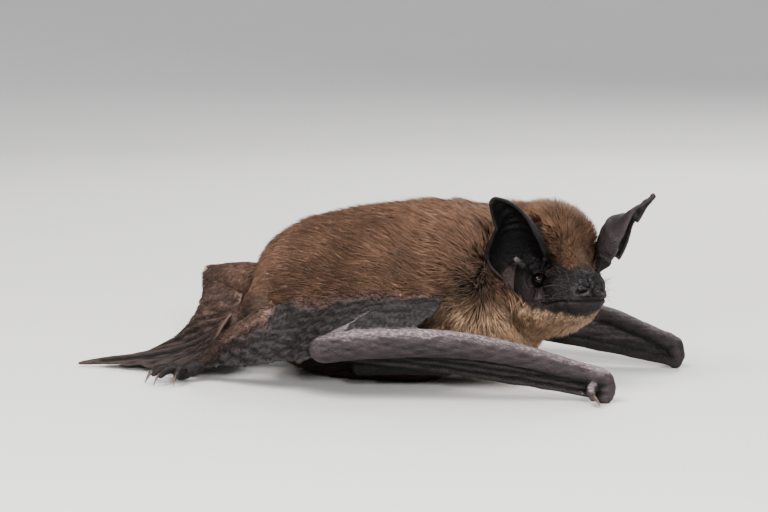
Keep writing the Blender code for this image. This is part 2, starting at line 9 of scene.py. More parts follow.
import bpy
import numpy as np
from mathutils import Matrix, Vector
from mathutils.bvhtree import BVHTree
from mathutils.kdtree import KDTree


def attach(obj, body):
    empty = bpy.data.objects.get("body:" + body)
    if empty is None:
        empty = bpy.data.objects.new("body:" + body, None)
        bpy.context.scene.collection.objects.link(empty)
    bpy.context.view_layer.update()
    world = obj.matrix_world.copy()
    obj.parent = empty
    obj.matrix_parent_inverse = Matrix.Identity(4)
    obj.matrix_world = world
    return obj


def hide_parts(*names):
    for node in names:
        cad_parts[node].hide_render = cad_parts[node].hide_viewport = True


bl_info = {
    "name": "Resting bat dresser",
    "version": (1, 0, 0),
    "blender": (4, 5, 0),
    "location": "View3D > Sidebar > Bat",
    "description": "Builds the skin, eyes, claws, coat and whiskers of a resting bat",
    "category": "Object",
}

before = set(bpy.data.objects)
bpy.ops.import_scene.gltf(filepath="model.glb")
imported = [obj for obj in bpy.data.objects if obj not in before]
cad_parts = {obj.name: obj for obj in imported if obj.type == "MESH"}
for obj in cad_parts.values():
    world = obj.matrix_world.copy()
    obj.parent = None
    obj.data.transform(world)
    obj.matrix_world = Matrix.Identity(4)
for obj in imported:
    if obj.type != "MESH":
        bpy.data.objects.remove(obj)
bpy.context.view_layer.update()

MM = 0.001
SIDES = (("right", -1), ("left", 1))
BODY = "root"

# Trunk: x, the heights of the fur's top and bottom, and its half width.
TRUNK = [
    (-25.8, 18.8, 14.6, 2.0),
    (-25.1, 22.2, 10.8, 5.8),
    (-23.2, 25.8, 6.5, 9.6),
    (-19.4, 29.2, 2.6, 12.6),
    (-10.0, 32.6, -0.5, 14.9),
    (2.0, 34.6, -1.0, 15.9),
    (9.0, 35.2, -0.7, 15.7),
    (12.6, 33.6, 1.4, 13.8),
    (15.0, 29.5, 6.5, 9.6),
    (16.0, 23.5, 12.5, 4.5),
]
TRUNK_FULLNESS = 2.15  # superellipse power of a trunk section
COAT_TOP, COAT_SIDE, COAT_BELLY = 3.6, 3.0, 1.7  # depth of the trunk's coat
NECK_COAT = 5.8  # depth of the neck's coat above and below together
NECK_PATH = [(8.0, 0.2, 17.0), (13.5, 0.2, 17.6), (20.0, 0.0, 18.6), (25.5, -0.6, 20.6), (29.0, -1.8, 21.6)]
NECK_HALF_WIDTHS = [10.5, 15.4, 15.0, 12.4, 8.8]
NECK_HALF_HEIGHTS = [12.0, 17.6, 17.0, 14.8, 11.4]

# Head: along the direction that it faces, from a point between the ears.
HEAD_CENTRE = (33.8, -3.4)
HEAD_TURN = math.radians(-47.0)
HEAD = [
    # ahead, top, bottom, half width, widest level, coat on the crown, the cheek and the throat
    (-6.6, 28.0, 16.0, 3.5, 21.0, 1.0, 0.8, 1.0),
    (-5.9, 32.5, 12.0, 7.2, 21.0, 2.2, 1.6, 2.0),
    (-3.8, 35.3, 9.2, 10.0, 20.5, 3.0, 2.6, 2.6),
    (-1.0, 35.6, 8.7, 10.6, 19.5, 3.0, 2.8, 2.8),
    (2.0, 34.0, 9.5, 9.8, 18.0, 2.7, 2.0, 2.8),
    (4.5, 30.4, 11.0, 8.0, 16.9, 1.9, 0.5, 2.2),
    (6.5, 26.6, 12.5, 6.4, 16.8, 0.7, 0.15, 1.0),
    (8.5, 24.4, 13.6, 5.5, 18.2, 0.15, 0.1, 0.3),
    (10.2, 23.5, 14.6, 4.7, 18.6, 0.1, 0.1, 0.1),
    (11.6, 22.4, 15.6, 3.8, 18.9, 0.1, 0.1, 0.1),
    (12.5, 21.2, 17.2, 2.5, 19.2, 0.1, 0.1, 0.1),
]
EYE = (4.2, 6.0, 21.2)  # centre of the eyeball in the head's directions
EYE_RADIUS = 1.35
EYE_LOOK = (0.66, 0.74, 0.1)  # outward direction of the eye in the head's directions
LID_ANGLE = 64.0  # degrees from the eye's direction to the edge of its lids
HEAD_SPOTS = [
    # ahead, height, rise of the head's side, reach, and the share of it on the right and on the left
    (4.2, 21.2, -1.3, 2.7, 1.0, 1.0),  # the hollow round the eye
    (7.9, 20.6, 0.75, 2.0, 1.0, 1.0),  # the swollen side of the muzzle
    (3.0, 25.6, -3.4, 3.2, 1.0, 0.45),  # the hollow inside the ear
    (0.0, 28.5, 1.7, 4.5, 0.0, 1.0),  # fuller fur in front of the left ear
]
MOUTH_BACK, MOUTH_HEIGHT, MOUTH_RISE = 6.2, 16.9, 1.0
NOSE = (12.55, 19.6)  # ahead and height of the nose pad
NOSTRIL_SIDE = 1.85

# Ears: the points of each axis and of each tragus are ahead, outward and height in the head.
EAR_AXIS = {
    "right": [
        (1.6, 7.6, 21.8),
        (2.9, 9.8, 25.2),
        (4.7, 11.4, 28.4),
        (6.1, 12.8, 31.3),
        (6.4, 14.9, 34.2),
        (7.6, 17.7, 36.4),
    ],
    "left": [
        (1.6, 12.2, 23.0),
        (2.9, 13.0, 26.2),
        (4.7, 13.2, 29.2),
        (6.1, 13.7, 31.5),
        (6.4, 15.5, 33.6),
        (7.6, 17.4, 36.0),
    ],
}
EAR_WIDTHS = {"right": [8.8, 10.6, 8.8, 6.4, 4.7, 2.0], "left": [8.8, 10.4, 9.6, 5.8, 3.2, 1.4]}
EAR_DEPTHS = {"right": [4.2, 5.0, 5.2, 4.6, 2.6, 0.6], "left": [3.6, 4.4, 4.2, 1.8, 0.8, 0.4]}
EAR_CURLS = [125.0, 112.0, 98.0, 84.0, 64.0, 45.0]  # half angle of each section's arc, in degrees
EAR_OPENS = (0.76, 0.65, -0.1)  # direction that the hollow faces: ahead, outward and up
EAR_RIDGES = 9
TRAGUS_PATH = {
    "right": [(3.2, 7.8, 22.8), (3.1, 9.0, 24.1), (2.8, 10.2, 25.2)],
    "left": [(3.4, 9.4, 23.4), (3.6, 10.6, 24.7), (3.4, 11.7, 25.9)],
}

# Wings: each forearm runs from the elbow to the wrist.
SHOULDER = {"right": (16.0, -8.5, 17.0), "left": (16.0, 8.5, 17.0)}
FOREARM = {
    "right": [
        (-4.1, -27.6, 9.4),
        (4.6, -26.6, 10.6),
        (18.7, -24.0, 10.7),
        (30.9, -20.9, 8.7),
        (40.6, -17.9, 5.9),
        (44.4, -16.9, 4.7),
    ],
    "left": [
        (3.4, 33.6, 9.4),
        (12.0, 34.4, 10.7),
        (25.5, 33.0, 10.9),
        (38.5, 30.0, 9.0),
        (48.2, 26.4, 6.2),
        (51.8, 25.2, 5.0),
    ],
}
FOREARM_RADII = [2.5, 2.75, 2.45, 2.05, 1.75, 1.9]
HUMERUS_RADII = [3.0, 2.7, 2.3]
FINGER_BACK = {"right": (1.5, -22.9, 9.6), "left": (9.0, 29.9, 9.6)}  # where the knuckles lie
FINGER_DROP = {3: 1.2, 4: 2.45, 5: 3.7}  # height of each finger at the wrist
FINGER_IN = {3: 1.0, 4: 0.55, 5: 0.0}  # how far each finger lies in from the wrist's line
KNUCKLE_STEP = 1.2
FINGER_HEIGHTS = {3: [0.62, 0.75, 0.85, 1.0], 4: [0.55, 0.65, 0.7, 0.85], 5: [0.58, 0.72, 0.85, 0.9]}
THUMB = {
    "right": [(43.9, -18.1, 3.1), (43.8, -20.4, 2.9), (44.4, -21.9, 1.7), (45.9, -23.0, 0.5)],
    "left": [(51.1, 26.3, 3.2), (51.3, 28.6, 2.9), (52.2, 30.0, 1.7), (53.9, 30.6, 0.5)],
}
THUMB_RADII = [1.0, 0.85, 0.62, 0.3]
THUMB_CLAW = 0.62  # share of the thumb at which its claw starts
SKIN_SHEET = 0.55  # thickness of the skin of the ears, wings and tail

# Hind legs and tail.
HIP = {"right": (-22.0, -6.0, 13.5), "left": (-22.5, 5.5, 15.5)}
KNEE = {"right": (-18.6, -17.4, 13.2), "left": (-39.6, 13.4, 17.2)}
ANKLE = {"right": (-32.6, -14.2, 3.4), "left": (-41.8, 18.2, 3.2)}
THIGH_RADII = [4.0, 3.0, 1.6]
SHIN_RADII = [1.6, 1.5, 1.2]
TOES_AIM = {"right": (-0.86, -0.51), "left": (-0.72, 0.69)}
TOE_FAN = [-58.0, -26.0, 2.0, 30.0, 62.0]  # degrees from the foot's aim
SOLE_LENGTH = 3.6
TOE_LENGTH = 7.0
TOE_CLAW = 0.66  # share of a toe at which its claw starts
TAIL = [
    (-24.0, 0.0, 15.0),
    (-31.0, 0.4, 8.8),
    (-39.0, 0.6, 4.2),
    (-48.0, -0.8, 2.1),
    (-56.0, -2.8, 1.3),
    (-61.4, -4.4, 0.75),
]
TAIL_RADII = [2.4, 1.9, 1.35, 1.05, 0.8, 0.42]
TAIL_FREE = 0.9  # share of the tail that lies in the membrane

ZONES = ("trunk", "leg", "tail", "arm", "finger", "wing", "skirt", "foot", "head", "ear")
ZONE = {name: index for index, name in enumerate(ZONES)}

# The line behind each cheek from which the coat of a side spreads: its ends' x and height, and its y.
PARTING = ((23.6, 27.0), (19.9, 18.6))
PARTING_SIDE = 13.5

BODY_VOXEL, HEAD_VOXEL, PELT_VOXEL = 0.31, 0.18, 0.6
BODY_TRIANGLES, HEAD_TRIANGLES = 118000, 76000
SKIN_FLOOR, CLAW_FLOOR, HAIR_FLOOR = 0.04, 0.02, 0.03  # least height of each above the floor

# Coat.
THIGH_COAT = [5.0, 3.9, 2.1]  # half widths of a thigh's fur
COAT_PIECE_LIMIT = 19000  # tufts in one piece of the coat
COAT_SEED, WHISKER_SEED = 7, 61
DEEPEST_COAT = 4.4
HEAD_HAIR, BODY_HAIR = (0.85, 1.2), (1.5, 1.3)  # least length, and growth with the coat's depth
EAR_HAIR = 0.9
EAR_GAP = (0.22, 0.5)  # least gap between a tuft and an ear, in front of the ear and behind it
FINE_HAIR, TRUNK_HAIR = 0.05, 0.062  # half widths of a tuft
LOCK_SPACING = 0.9  # between the tufts that lead each lock of hair
BAKE_PATCH = 0.003  # width of a tuft's patch in the map for baking
WHISKERS = 130

# Stage, in metres: the floor's radii and heights, and each light's place, size, power and colour.
FLOOR_PROFILE = [(0.0, 0.0), (0.4, 0.0), (0.7, 0.0), (1.0, 0.025), (1.3, 0.1), (1.6, 0.27), (1.85, 0.6)]
FLOOR_PROFILE += [(2.0, 1.2), (2.05, 2.6)]
LIGHTS = {
    "key": ((-0.18, -0.5, 0.62), 0.45, 7.0, (1.0, 0.98, 0.95)),
    "fill": ((0.6, -0.75, 0.3), 1.1, 5.5, (0.96, 0.98, 1.0)),
    "rim": ((0.1, 0.6, 0.5), 0.4, 3.6, (1.0, 0.98, 0.96)),
    "catch": ((0.27, -0.6, 0.20), 0.055, 3.2, (1.0, 1.0, 1.0)),
    "second": ((-0.02, -0.66, 0.19), 0.035, 1.1, (1.0, 1.0, 1.0)),
}
LIT_PLACE = Vector((0.005, 0, 0.015))


# Numbers and curves


def eased(values, share):
    """A smooth curve through evenly spaced numbers or points, read at shares from 0 to 1."""
    values = np.asarray(values, float)
    share = np.asarray(share, float)
    last = len(values) - 1
    at = np.clip(share, 0, 1) * last
    step = np.minimum(at.astype(int), last - 1)
    t = at - step
    if values.ndim == 2:
        t = t[..., None]
    before, start, end, after = (values[np.clip(step + k, 0, last)] for k in (-1, 0, 1, 2))
    return 0.5 * (
        2 * start
        + (end - before) * t
        + (2 * before - 5 * start + 4 * end - after) * t**2
        + (3 * start - before - 3 * end + after) * t**3
    )


def station(table, column, at):
    """A column of a station table, read smoothly at values of its first column."""
    table = np.asarray(table, float)
    places, heights = table[:, 0], table[:, column]
    slopes = np.gradient(heights, places)
    at = np.clip(np.asarray(at, float), places[0], places[-1])
    low = np.clip(np.searchsorted(places, at) - 1, 0, len(places) - 2)
    span = places[low + 1] - places[low]
    t = (at - places[low]) / span
    return (
        heights[low] * (2 * t**3 - 3 * t**2 + 1)
        + slopes[low] * span * (t**3 - 2 * t**2 + t)
        + heights[low + 1] * (3 * t**2 - 2 * t**3)
        + slopes[low + 1] * span * (t**3 - t**2)
    )


def step_up(low, high, value):
    """0 below low, 1 above high, and a smooth rise between them."""
    t = np.clip((value - low) / (high - low), 0, 1)
    return t * t * (3 - 2 * t)


def hump(value, middle, reach):
    """1 at the middle, falling smoothly to almost nothing at twice the reach from it."""
    return np.exp(-(((value - middle) / reach) ** 2))


def mixed(first, second, share):
    """Rows of numbers, the first where the share is 0 and the second where it is 1."""
    return first + (np.asarray(second) - first) * share[:, None]


def unit(vectors):
    """Vectors of length 1 in the same directions."""
    return vectors / np.maximum(np.linalg.norm(vectors, axis=-1, keepdims=True), 1e-9)


def ripple(points, size, seed, waves=9, stretch=(1, 1, 1)):
    """A smooth irregular field of about -1 to 1 whose features are about a size across."""
    luck = np.random.default_rng(seed)
    total = np.zeros(len(points))
    scaled = points / np.asarray(stretch, float)
    for _ in range(waves):
        way = unit(luck.normal(size=3))
        pace = 2 * math.pi / (size * luck.uniform(0.7, 1.6))
        total += np.sin(scaled @ way * pace + luck.uniform(0, 2 * math.pi))
    return total / math.sqrt(waves) / 1.1


HEAD_FORWARD = np.array([math.cos(HEAD_TURN), math.sin(HEAD_TURN), 0.0])
HEAD_LEFT = np.array([-HEAD_FORWARD[1], HEAD_FORWARD[0], 0.0])


def head_point(ahead, side, height):
    """Points given in the head's directions, to its left where side is positive."""
    ahead, side, height = np.broadcast_arrays(ahead, side, height)
    flat = np.array([*HEAD_CENTRE, 0.0])
    up = np.array([0.0, 0.0, 1.0])
    return flat + ahead[..., None] * HEAD_FORWARD + side[..., None] * HEAD_LEFT + height[..., None] * up


def head_way(ahead, side, height):
    """A direction given in the head's directions."""
    return ahead * HEAD_FORWARD + side * HEAD_LEFT + np.array([0.0, 0.0, height])


def in_head(points):
    """The head's own coordinates of points: ahead, to the left, and height."""
    away = points - np.array([*HEAD_CENTRE, 0.0])
    return away @ HEAD_FORWARD, away @ HEAD_LEFT, points[:, 2]


def eye_centre(sign):
    """The middle of the eyeball on the side of that sign."""
    return head_point(EYE[0], sign * EYE[1], EYE[2])


def eye_look(sign):
    """The direction in which the eye on the side of that sign looks."""
    return unit(head_way(EYE_LOOK[0], sign * EYE_LOOK[1], EYE_LOOK[2]))


def tree_of(points):
    """A search tree that finds the nearest of these points."""
    tree = KDTree(len(points))
    for index, point in enumerate(points):
        tree.insert(point, index)
    tree.balance()
    return tree


def nearest(tree, points):
    """Which of the tree's points is nearest to each of these."""
    return np.array([tree.find(point)[1] for point in points], int)


def clearance(tree, points):
    """How far each of these points is from the nearest of the tree's."""
    return np.array([tree.find(point)[2] for point in points])


def on(zones, *names):
    """Which points belong to the zones of these names."""
    return np.isin(zones, [ZONE[name] for name in names])


# Closed forms, gathered before they are melted together


def band_faces(rows, sides, start=0):
    """Quads between rings of points that follow each other in one list."""
    faces = []
    for row in range(rows - 1):
        for side in range(sides):
            after = (side + 1) % sides
            first, second = start + row * sides, start + (row + 1) * sides
            faces.append((first + side, first + after, second + after, second + side))
    return faces


def turned(profile, sides, across, upward, axis):
    """Points and faces of rings round an axis, from (radius, height) pairs that start at a pole."""
    across, upward, axis = (np.asarray(way, float) for way in (across, upward, axis))
    points = [axis * profile[0][1]]
    for radius, height in profile[1:]:
        for side in range(sides):
            turn = 2 * math.pi * side / sides
            points.append((across * math.cos(turn) + upward * math.sin(turn)) * radius + axis * height)
    faces = [(0, 1 + side, 1 + (side + 1) % sides) for side in range(sides)]
    faces += [face[::-1] for face in band_faces(len(profile) - 1, sides, 1)]
    return np.array(points), faces


class Mould:
    """Closed forms that are to become one skin, each point with the zone that it belongs to."""

    def __init__(self):
        self.points, self.faces, self.zones, self.count = [], [], [], 0

    def add(self, points, faces, zone):
        self.points.append(points)
        self.faces.extend([tuple(index + self.count for index in face) for face in faces])
        self.zones.append(np.full(len(points), ZONE[zone]))
        self.count += len(points)

    def loft(self, rings, zone):
        """A closed form through rings of equally many points."""
        rings = np.asarray(rings)
        rows, sides = rings.shape[:2]
        points = np.concatenate([rings.reshape(-1, 3), rings[0].mean(0)[None], rings[-1].mean(0)[None]])
        faces = band_faces(rows, sides)
        for side in range(sides):
            after = (side + 1) % sides
            faces.append((after, side, rows * sides))
            faces.append(((rows - 1) * sides + side, (rows - 1) * sides + after, rows * sides + 1))
        self.add(points, faces, zone)

    def tube(self, path, widths, zone, rings=40, sides=24, heights=None, up=(0, 0, 1)):
        """A limb along a path, with half widths and half heights read along it and rounded ends."""
        self.loft(tube_rings(path, widths, rings, sides, heights, up), zone)

    def sheet(self, surface, rows, columns, thickness, zone):
        """A closed shell of even thickness round surface(s, t), with s and t from 0 to 1."""
        s, t = np.meshgrid(np.linspace(0, 1, rows + 1), np.linspace(0, 1, columns + 1), indexing="ij")
        middle = surface(s, t)
        normal = unit(np.cross(np.gradient(middle, axis=0), np.gradient(middle, axis=1))) * thickness / 2
        points = np.concatenate([(middle + normal).reshape(-1, 3), (middle - normal).reshape(-1, 3)])
        wide = columns + 1
        total = (rows + 1) * wide
        faces = []
        for row in range(rows):
            for column in range(columns):
                first = row * wide + column
                face = (first, first + 1, first + wide + 1, first + wide)
                faces.append(face[::-1])
                faces.append(tuple(total + index for index in face))
        border = list(range(columns)) + [row * wide + columns for row in range(rows)]
        border += [rows * wide + column for column in range(columns, 0, -1)]
        border += [row * wide for row in range(rows, 0, -1)]
        for index, first in enumerate(border):
            second = border[(index + 1) % len(border)]
            faces.append((first, second, total + second, total + first))
        self.add(points, faces, zone)

    def melted(self, voxel):
        """Points, quads and zones of one closed skin round everything in the mould."""
        points = np.concatenate(self.points)
        holder = mesh_object("mould", points, self.faces)
        change = holder.modifiers.new("melt", "REMESH")
        change.mode = "VOXEL"
        change.voxel_size = voxel * MM
        skin, faces = evaluated(holder)
        return skin, faces, self.zones_at(skin)

    def zones_at(self, points):
        """The zone of the form that lies nearest to each point."""
        return np.concatenate(self.zones)[nearest(tree_of(np.concatenate(self.points)), points)]


def tube_rings(path, widths, rings, sides, heights=None, up=(0, 0, 1)):
    """The rings of a limb along a path, drawn in to a rounded end at both ends."""
    heights = widths if heights is None else heights
    caps = np.radians([84, 66, 45, 22])
    shares = np.concatenate([np.zeros(4), np.linspace(0, 1, rings), np.ones(4)])
    shifts = np.concatenate([-np.sin(caps), np.zeros(rings), np.sin(caps[::-1])])
    scales = np.concatenate([np.cos(caps), np.ones(rings), np.cos(caps[::-1])])
    forward = unit(eased(path, np.minimum(shares + 0.01, 1)) - eased(path, np.maximum(shares - 0.01, 0)))
    across = unit(np.cross(forward, np.asarray(up, float)))
    upward = np.cross(across, forward)
    width, height = eased(widths, shares), eased(heights, shares)
    centre = eased(path, shares) + forward * (shifts * np.minimum(width, height))[:, None]
    turn = np.linspace(0, 2 * math.pi, sides, endpoint=False)
    around = across[:, None] * (np.cos(turn)[None] * (width * scales)[:, None])[..., None]
    around = around + upward[:, None] * (np.sin(turn)[None] * (height * scales)[:, None])[..., None]
    return centre[:, None] + around


# Meshes and objects


def mesh_object(name, points, faces, smooth=True):
    """An object whose mesh holds these points, in millimetres, and faces."""
    faces = faces if isinstance(faces, list) else faces.tolist()
    mesh = bpy.data.meshes.new(name)
    mesh.from_pydata((np.asarray(points) * MM).tolist(), [], faces)
    mesh.update()
    if smooth:
        mesh.shade_smooth()
    made = bpy.data.objects.new(name, mesh)
    bpy.context.scene.collection.objects.link(made)
    return made


def rows_of(items, field, width=3):
    """A field of a mesh's points, as rows of numbers."""
    values = np.empty(len(items) * width)
    items.foreach_get(field, values)
    return values.reshape(-1, width)


def points_of(mesh):
    """A mesh's points in millimetres."""
    return rows_of(mesh.vertices, "co") / MM


def faces_of(mesh):
    """The faces of a mesh of triangles, or of one of quads, as rows of its points' numbers."""
    corners = np.empty(len(mesh.loops), int)
    mesh.loops.foreach_get("vertex_index", corners)
    return corners.reshape(len(mesh.polygons), -1)


def evaluated(holder):
    """Points in millimetres and faces of an object with its modifiers done. The object is removed."""
    mesh = bpy.data.meshes.new_from_object(holder.evaluated_get(bpy.context.evaluated_depsgraph_get()))
    if not mesh.polygons:
        raise RuntimeError(f"no surface came out of {holder.name}")
    points, faces = points_of(mesh), faces_of(mesh)
    bpy.data.objects.remove(holder, do_unlink=True)
    bpy.data.meshes.remove(mesh)
    return points, faces


def normals_of(points, faces):
    """Unit normals at the points of a mesh of triangles or quads."""
    corners = [points[faces[:, column]] for column in range(faces.shape[1])]
    if len(corners) == 4:
        flat = np.cross(corners[2] - corners[0], corners[3] - corners[1])
    else:
        flat = np.cross(corners[1] - corners[0], corners[2] - corners[0])
    total = np.zeros_like(points)
    for column in range(faces.shape[1]):
        for axis in range(3):
            total[:, axis] += np.bincount(faces[:, column], flat[:, axis], len(points))
    return unit(total)


def relaxed(values, faces, rounds, amount):
    """Values at a mesh's points, each moved towards its neighbours' mean by an amount from 0 to 1."""
    pairs = np.concatenate([faces[:, [k, (k + 1) % faces.shape[1]]] for k in range(faces.shape[1])])
    pairs = np.concatenate([pairs, pairs[:, ::-1]])
    values = np.asarray(values, float)
    flat = values.reshape(len(values), -1).copy()
    number = np.maximum(np.bincount(pairs[:, 0], minlength=len(values)), 1)
    amount = np.broadcast_to(amount, len(values))[:, None]
    for _ in range(rounds):
        sums = [np.bincount(pairs[:, 0], column[pairs[:, 1]], len(values)) for column in flat.T]
        flat += (np.stack([column / number for column in sums], axis=1) - flat) * amount
    return flat.reshape(values.shape)


def thinned(points, faces, triangles):
    """The mesh brought down to a number of triangles, most of them taken where it is smooth."""
    holder = mesh_object("thin", points, faces)
    whole = holder.modifiers.new("triangles", "TRIANGULATE")
    whole.quad_method = "BEAUTY"
    change = holder.modifiers.new("thin", "DECIMATE")
    change.ratio = min(1.0, triangles / (2 * len(faces)))
    return evaluated(holder)


def finished(piece, slot, *nodes):
    """Puts a piece on the body in the place of the solids that it stands for, which it hides. The slot is
    not used.
    """
    if nodes:
        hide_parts(*nodes)
    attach(piece, BODY)
    return piece


def give(mesh, name, values):
    """Writes numbers, or rows of three, as an attribute at the points of a mesh."""
    values = np.ascontiguousarray(values, dtype=np.float32)
    kind, field = ("FLOAT", "value") if values.ndim == 1 else ("FLOAT_VECTOR", "vector")
    mesh.attributes.new(name, kind, "POINT").data.foreach_set(field, values.ravel())


def given(mesh, name):
    """The numbers of an attribute at the points of a mesh."""
    return rows_of(mesh.attributes[name].data, "value", 1)[:, 0]


# Shader maths


class Field:
    """A number or colour that varies over a surface. Python's operators add Math nodes to it."""

    def __init__(self, tree, socket):
        self.tree, self.socket = tree, socket

    def math(self, operation, *values):
        return shade(self.tree, "ShaderNodeMath", {"operation": operation}, dict(enumerate(values)))

    def __add__(self, other):
        return self.math("ADD", self, other)

    __radd__ = __add__

    def __sub__(self, other):
        return self.math("SUBTRACT", self, other)

    def __rsub__(self, other):
        return self.math("SUBTRACT", other, self)

    def __mul__(self, other):
        return self.math("MULTIPLY", self, other)

    __rmul__ = __mul__

    def rise(self, low, high):
        """0 below low, 1 above high, and a smooth rise between."""
        settings = {"interpolation_type": "SMOOTHSTEP"}
        return shade(self.tree, "ShaderNodeMapRange", settings, {0: self, 1: low, 2: high, 3: 0.0, 4: 1.0})

    def blend(self, first, second):
        """The first colour where this is 0 and the second where it is 1."""
        settings = {"data_type": "RGBA", "clamp_factor": True}
        return shade(self.tree, "ShaderNodeMix", settings, {0: self, 6: first, 7: second}, 2)

    def tinted(self, factor):
        """This colour made lighter or darker by a number that varies."""
        return shade(self.tree, "ShaderNodeVectorMath", {"operation": "SCALE"}, {0: self, 3: factor})


def shade(tree, kind, settings, values, output=0):
    """A node with its settings made first and then its sockets' values or links, as a Field."""
    node = tree.nodes.new(kind)
    for name, value in settings.items():
        setattr(node, name, value)
    for key, value in values.items():
        socket = node.inputs[key]
        if isinstance(value, Field):
            tree.links.new(value.socket, socket)
        elif isinstance(value, tuple) and len(value) == 3 and socket.type == "RGBA":
            socket.default_value = (*value, 1.0)
        else:
            socket.default_value = value
    return Field(tree, node.outputs[output])


def new_material(name):
    """An empty node material with its Principled shader's node."""
    made = bpy.data.materials.new(name)
    made.use_nodes = True
    return made, made.node_tree, made.node_tree.nodes["Principled BSDF"]


def feed(tree, shader, socket, value):
    """Lets a field drive one of the shader's sockets."""
    tree.links.new(value.socket, shader.inputs[socket])


def attribute(tree, name, output="Fac"):
    """A number, or a colour from the output of that name, that the mesh's points carry."""
    return shade(tree, "ShaderNodeAttribute", {"attribute_name": name}, {}, output)


def placed(tree, stretch=(1, 1, 1)):
    """Object coordinates in metres, each multiplied by its share of the stretch."""
    place = shade(tree, "ShaderNodeTexCoord", {}, {}, "Object")
    return shade(tree, "ShaderNodeMapping", {}, {"Vector": place, "Scale": stretch})


def noise(tree, where, scale, detail=3.0, roughness=0.55):
    """A cloudy number from 0 to 1."""
    values = {"Vector": where, "Scale": scale, "Detail": detail, "Roughness": roughness}
    return shade(tree, "ShaderNodeTexNoise", {}, values)


# Forms of the skin


def powered(values, exponent):
    """A power of each number's size, with its sign kept."""
    return np.sign(values) * np.abs(values) ** exponent


def trunk_rings(top_coat=COAT_TOP, side_coat=COAT_SIDE, belly_coat=COAT_BELLY):
    """The trunk inside the outline of its fur by the coat's depth above, at the sides and below."""
    shares = 0.5 - 0.5 * np.cos(np.linspace(0, math.pi, 64))
    start, end = TRUNK[0][0] + 0.6 * side_coat, TRUNK[-1][0] - 0.3 * side_coat
    x = start + shares * (end - start)
    top = station(TRUNK, 1, x) - top_coat
    bottom = station(TRUNK, 2, x) + belly_coat
    half = np.maximum(station(TRUNK, 3, x) - side_coat, 1.0)
    top = np.maximum(top, bottom + 1.5)
    turn = np.linspace(0, 2 * math.pi, 90, endpoint=False)
    y = half[:, None] * powered(np.cos(turn), 2 / TRUNK_FULLNESS)
    rise = powered(np.sin(turn), 2 / TRUNK_FULLNESS)
    z = ((top + bottom) / 2)[:, None] + ((top - bottom) / 2)[:, None] * rise
    return np.stack([np.broadcast_to(x[:, None], y.shape), y, z], axis=-1)


def head_rings(coat=1.0):
    """The head inside the outline of its fur by a share of the coat's depth."""
    ahead = np.linspace(HEAD[0][0], HEAD[-1][0], 96)[:, None]
    turn = np.linspace(0, 2 * math.pi, 96, endpoint=False)[None]
    top = station(HEAD, 1, ahead) - station(HEAD, 5, ahead) * coat
    bottom = station(HEAD, 2, ahead) + station(HEAD, 7, ahead) * coat
    half = station(HEAD, 3, ahead) - station(HEAD, 6, ahead) * coat
    level = station(HEAD, 4, ahead)
    side = half * np.cos(turn)
    height = level + np.where(np.sin(turn) > 0, top - level, level - bottom) * np.sin(turn)
    for spot_ahead, spot_height, rise, reach, on_right, on_left in HEAD_SPOTS:
        near = np.exp(-((ahead - spot_ahead) ** 2 + (height - spot_height) ** 2) / reach**2)
        near = near * np.where(side > 0, on_left, on_right)
        side = side + np.sign(side) * rise * near * step_up(0.25, 0.6, np.abs(side) / half)
    return head_point(np.broadcast_to(ahead, side.shape), side, height)


def ear_surface(side, sign):
    """The trough of one ear as a function of shares along and across it."""
    axis = head_point(*(np.array(EAR_AXIS[side]) * (1, sign, 1)).T)
    opening = head_way(EAR_OPENS[0], sign * EAR_OPENS[1], EAR_OPENS[2])

    def surface(s, t):
        forward = unit(eased(axis, np.minimum(s + 0.01, 1)) - eased(axis, np.maximum(s - 0.01, 0)))
        face = unit(opening - forward * (forward @ opening)[..., None])
        across = np.cross(forward, face) * sign
        curl = np.radians(eased(EAR_CURLS, s))
        angle = (2 * t - 1) * curl
        width, depth = eased(EAR_WIDTHS[side], s), eased(EAR_DEPTHS[side], s)
        ridge = 0.2 * np.sin(2 * math.pi * EAR_RIDGES * s) * step_up(0.25, 0.4, s) * step_up(0.2, 0.5, t)
        lobe = 0.5 * hump(s, 0.2, 0.12) * step_up(0.75, 1.0, t)
        spread = width / 2 * np.sin(angle) / np.sin(np.minimum(curl, math.pi / 2)) + lobe
        recess = depth * (1 - np.cos(angle)) / (1 - np.cos(curl)) - depth
        recess = recess + ridge * step_up(0.0, 0.3, 1 - t)
        return eased(axis, s) + across * spread[..., None] + face * recess[..., None]

    return surface


def head_mould():
    """The head with its nose pad, ears and tragi."""
    mould = Mould()
    mould.loft(head_rings(), "head")
    outer, inner = (0.75, 0.1), (0.05, 0.0)
    pad = []
    for side, (back, drop) in ((-1, outer), (-0.55, inner), (0, (0.0, 0.05)), (0.55, inner), (1, outer)):
        pad.append(head_point(NOSE[0] + 0.25 - back, side * (NOSTRIL_SIDE + 0.45), NOSE[1] - drop))
    mould.tube(pad, [0.5, 0.8, 0.6, 0.8, 0.5], "head", 30, 20, [0.65, 0.9, 0.7, 0.9, 0.65])
    for name, sign in SIDES:
        mould.sheet(ear_surface(name, sign), 150, 60, SKIN_SHEET, "ear")
        path = [head_point(a, sign * b, c) for a, b, c in TRAGUS_PATH[name]]
        facing = head_way(EAR_OPENS[0], sign * EAR_OPENS[1], EAR_OPENS[2])
        mould.tube(path, [0.5, 0.66, 0.56], "ear", 24, 16, [0.42, 0.4, 0.34], up=facing)
    return mould


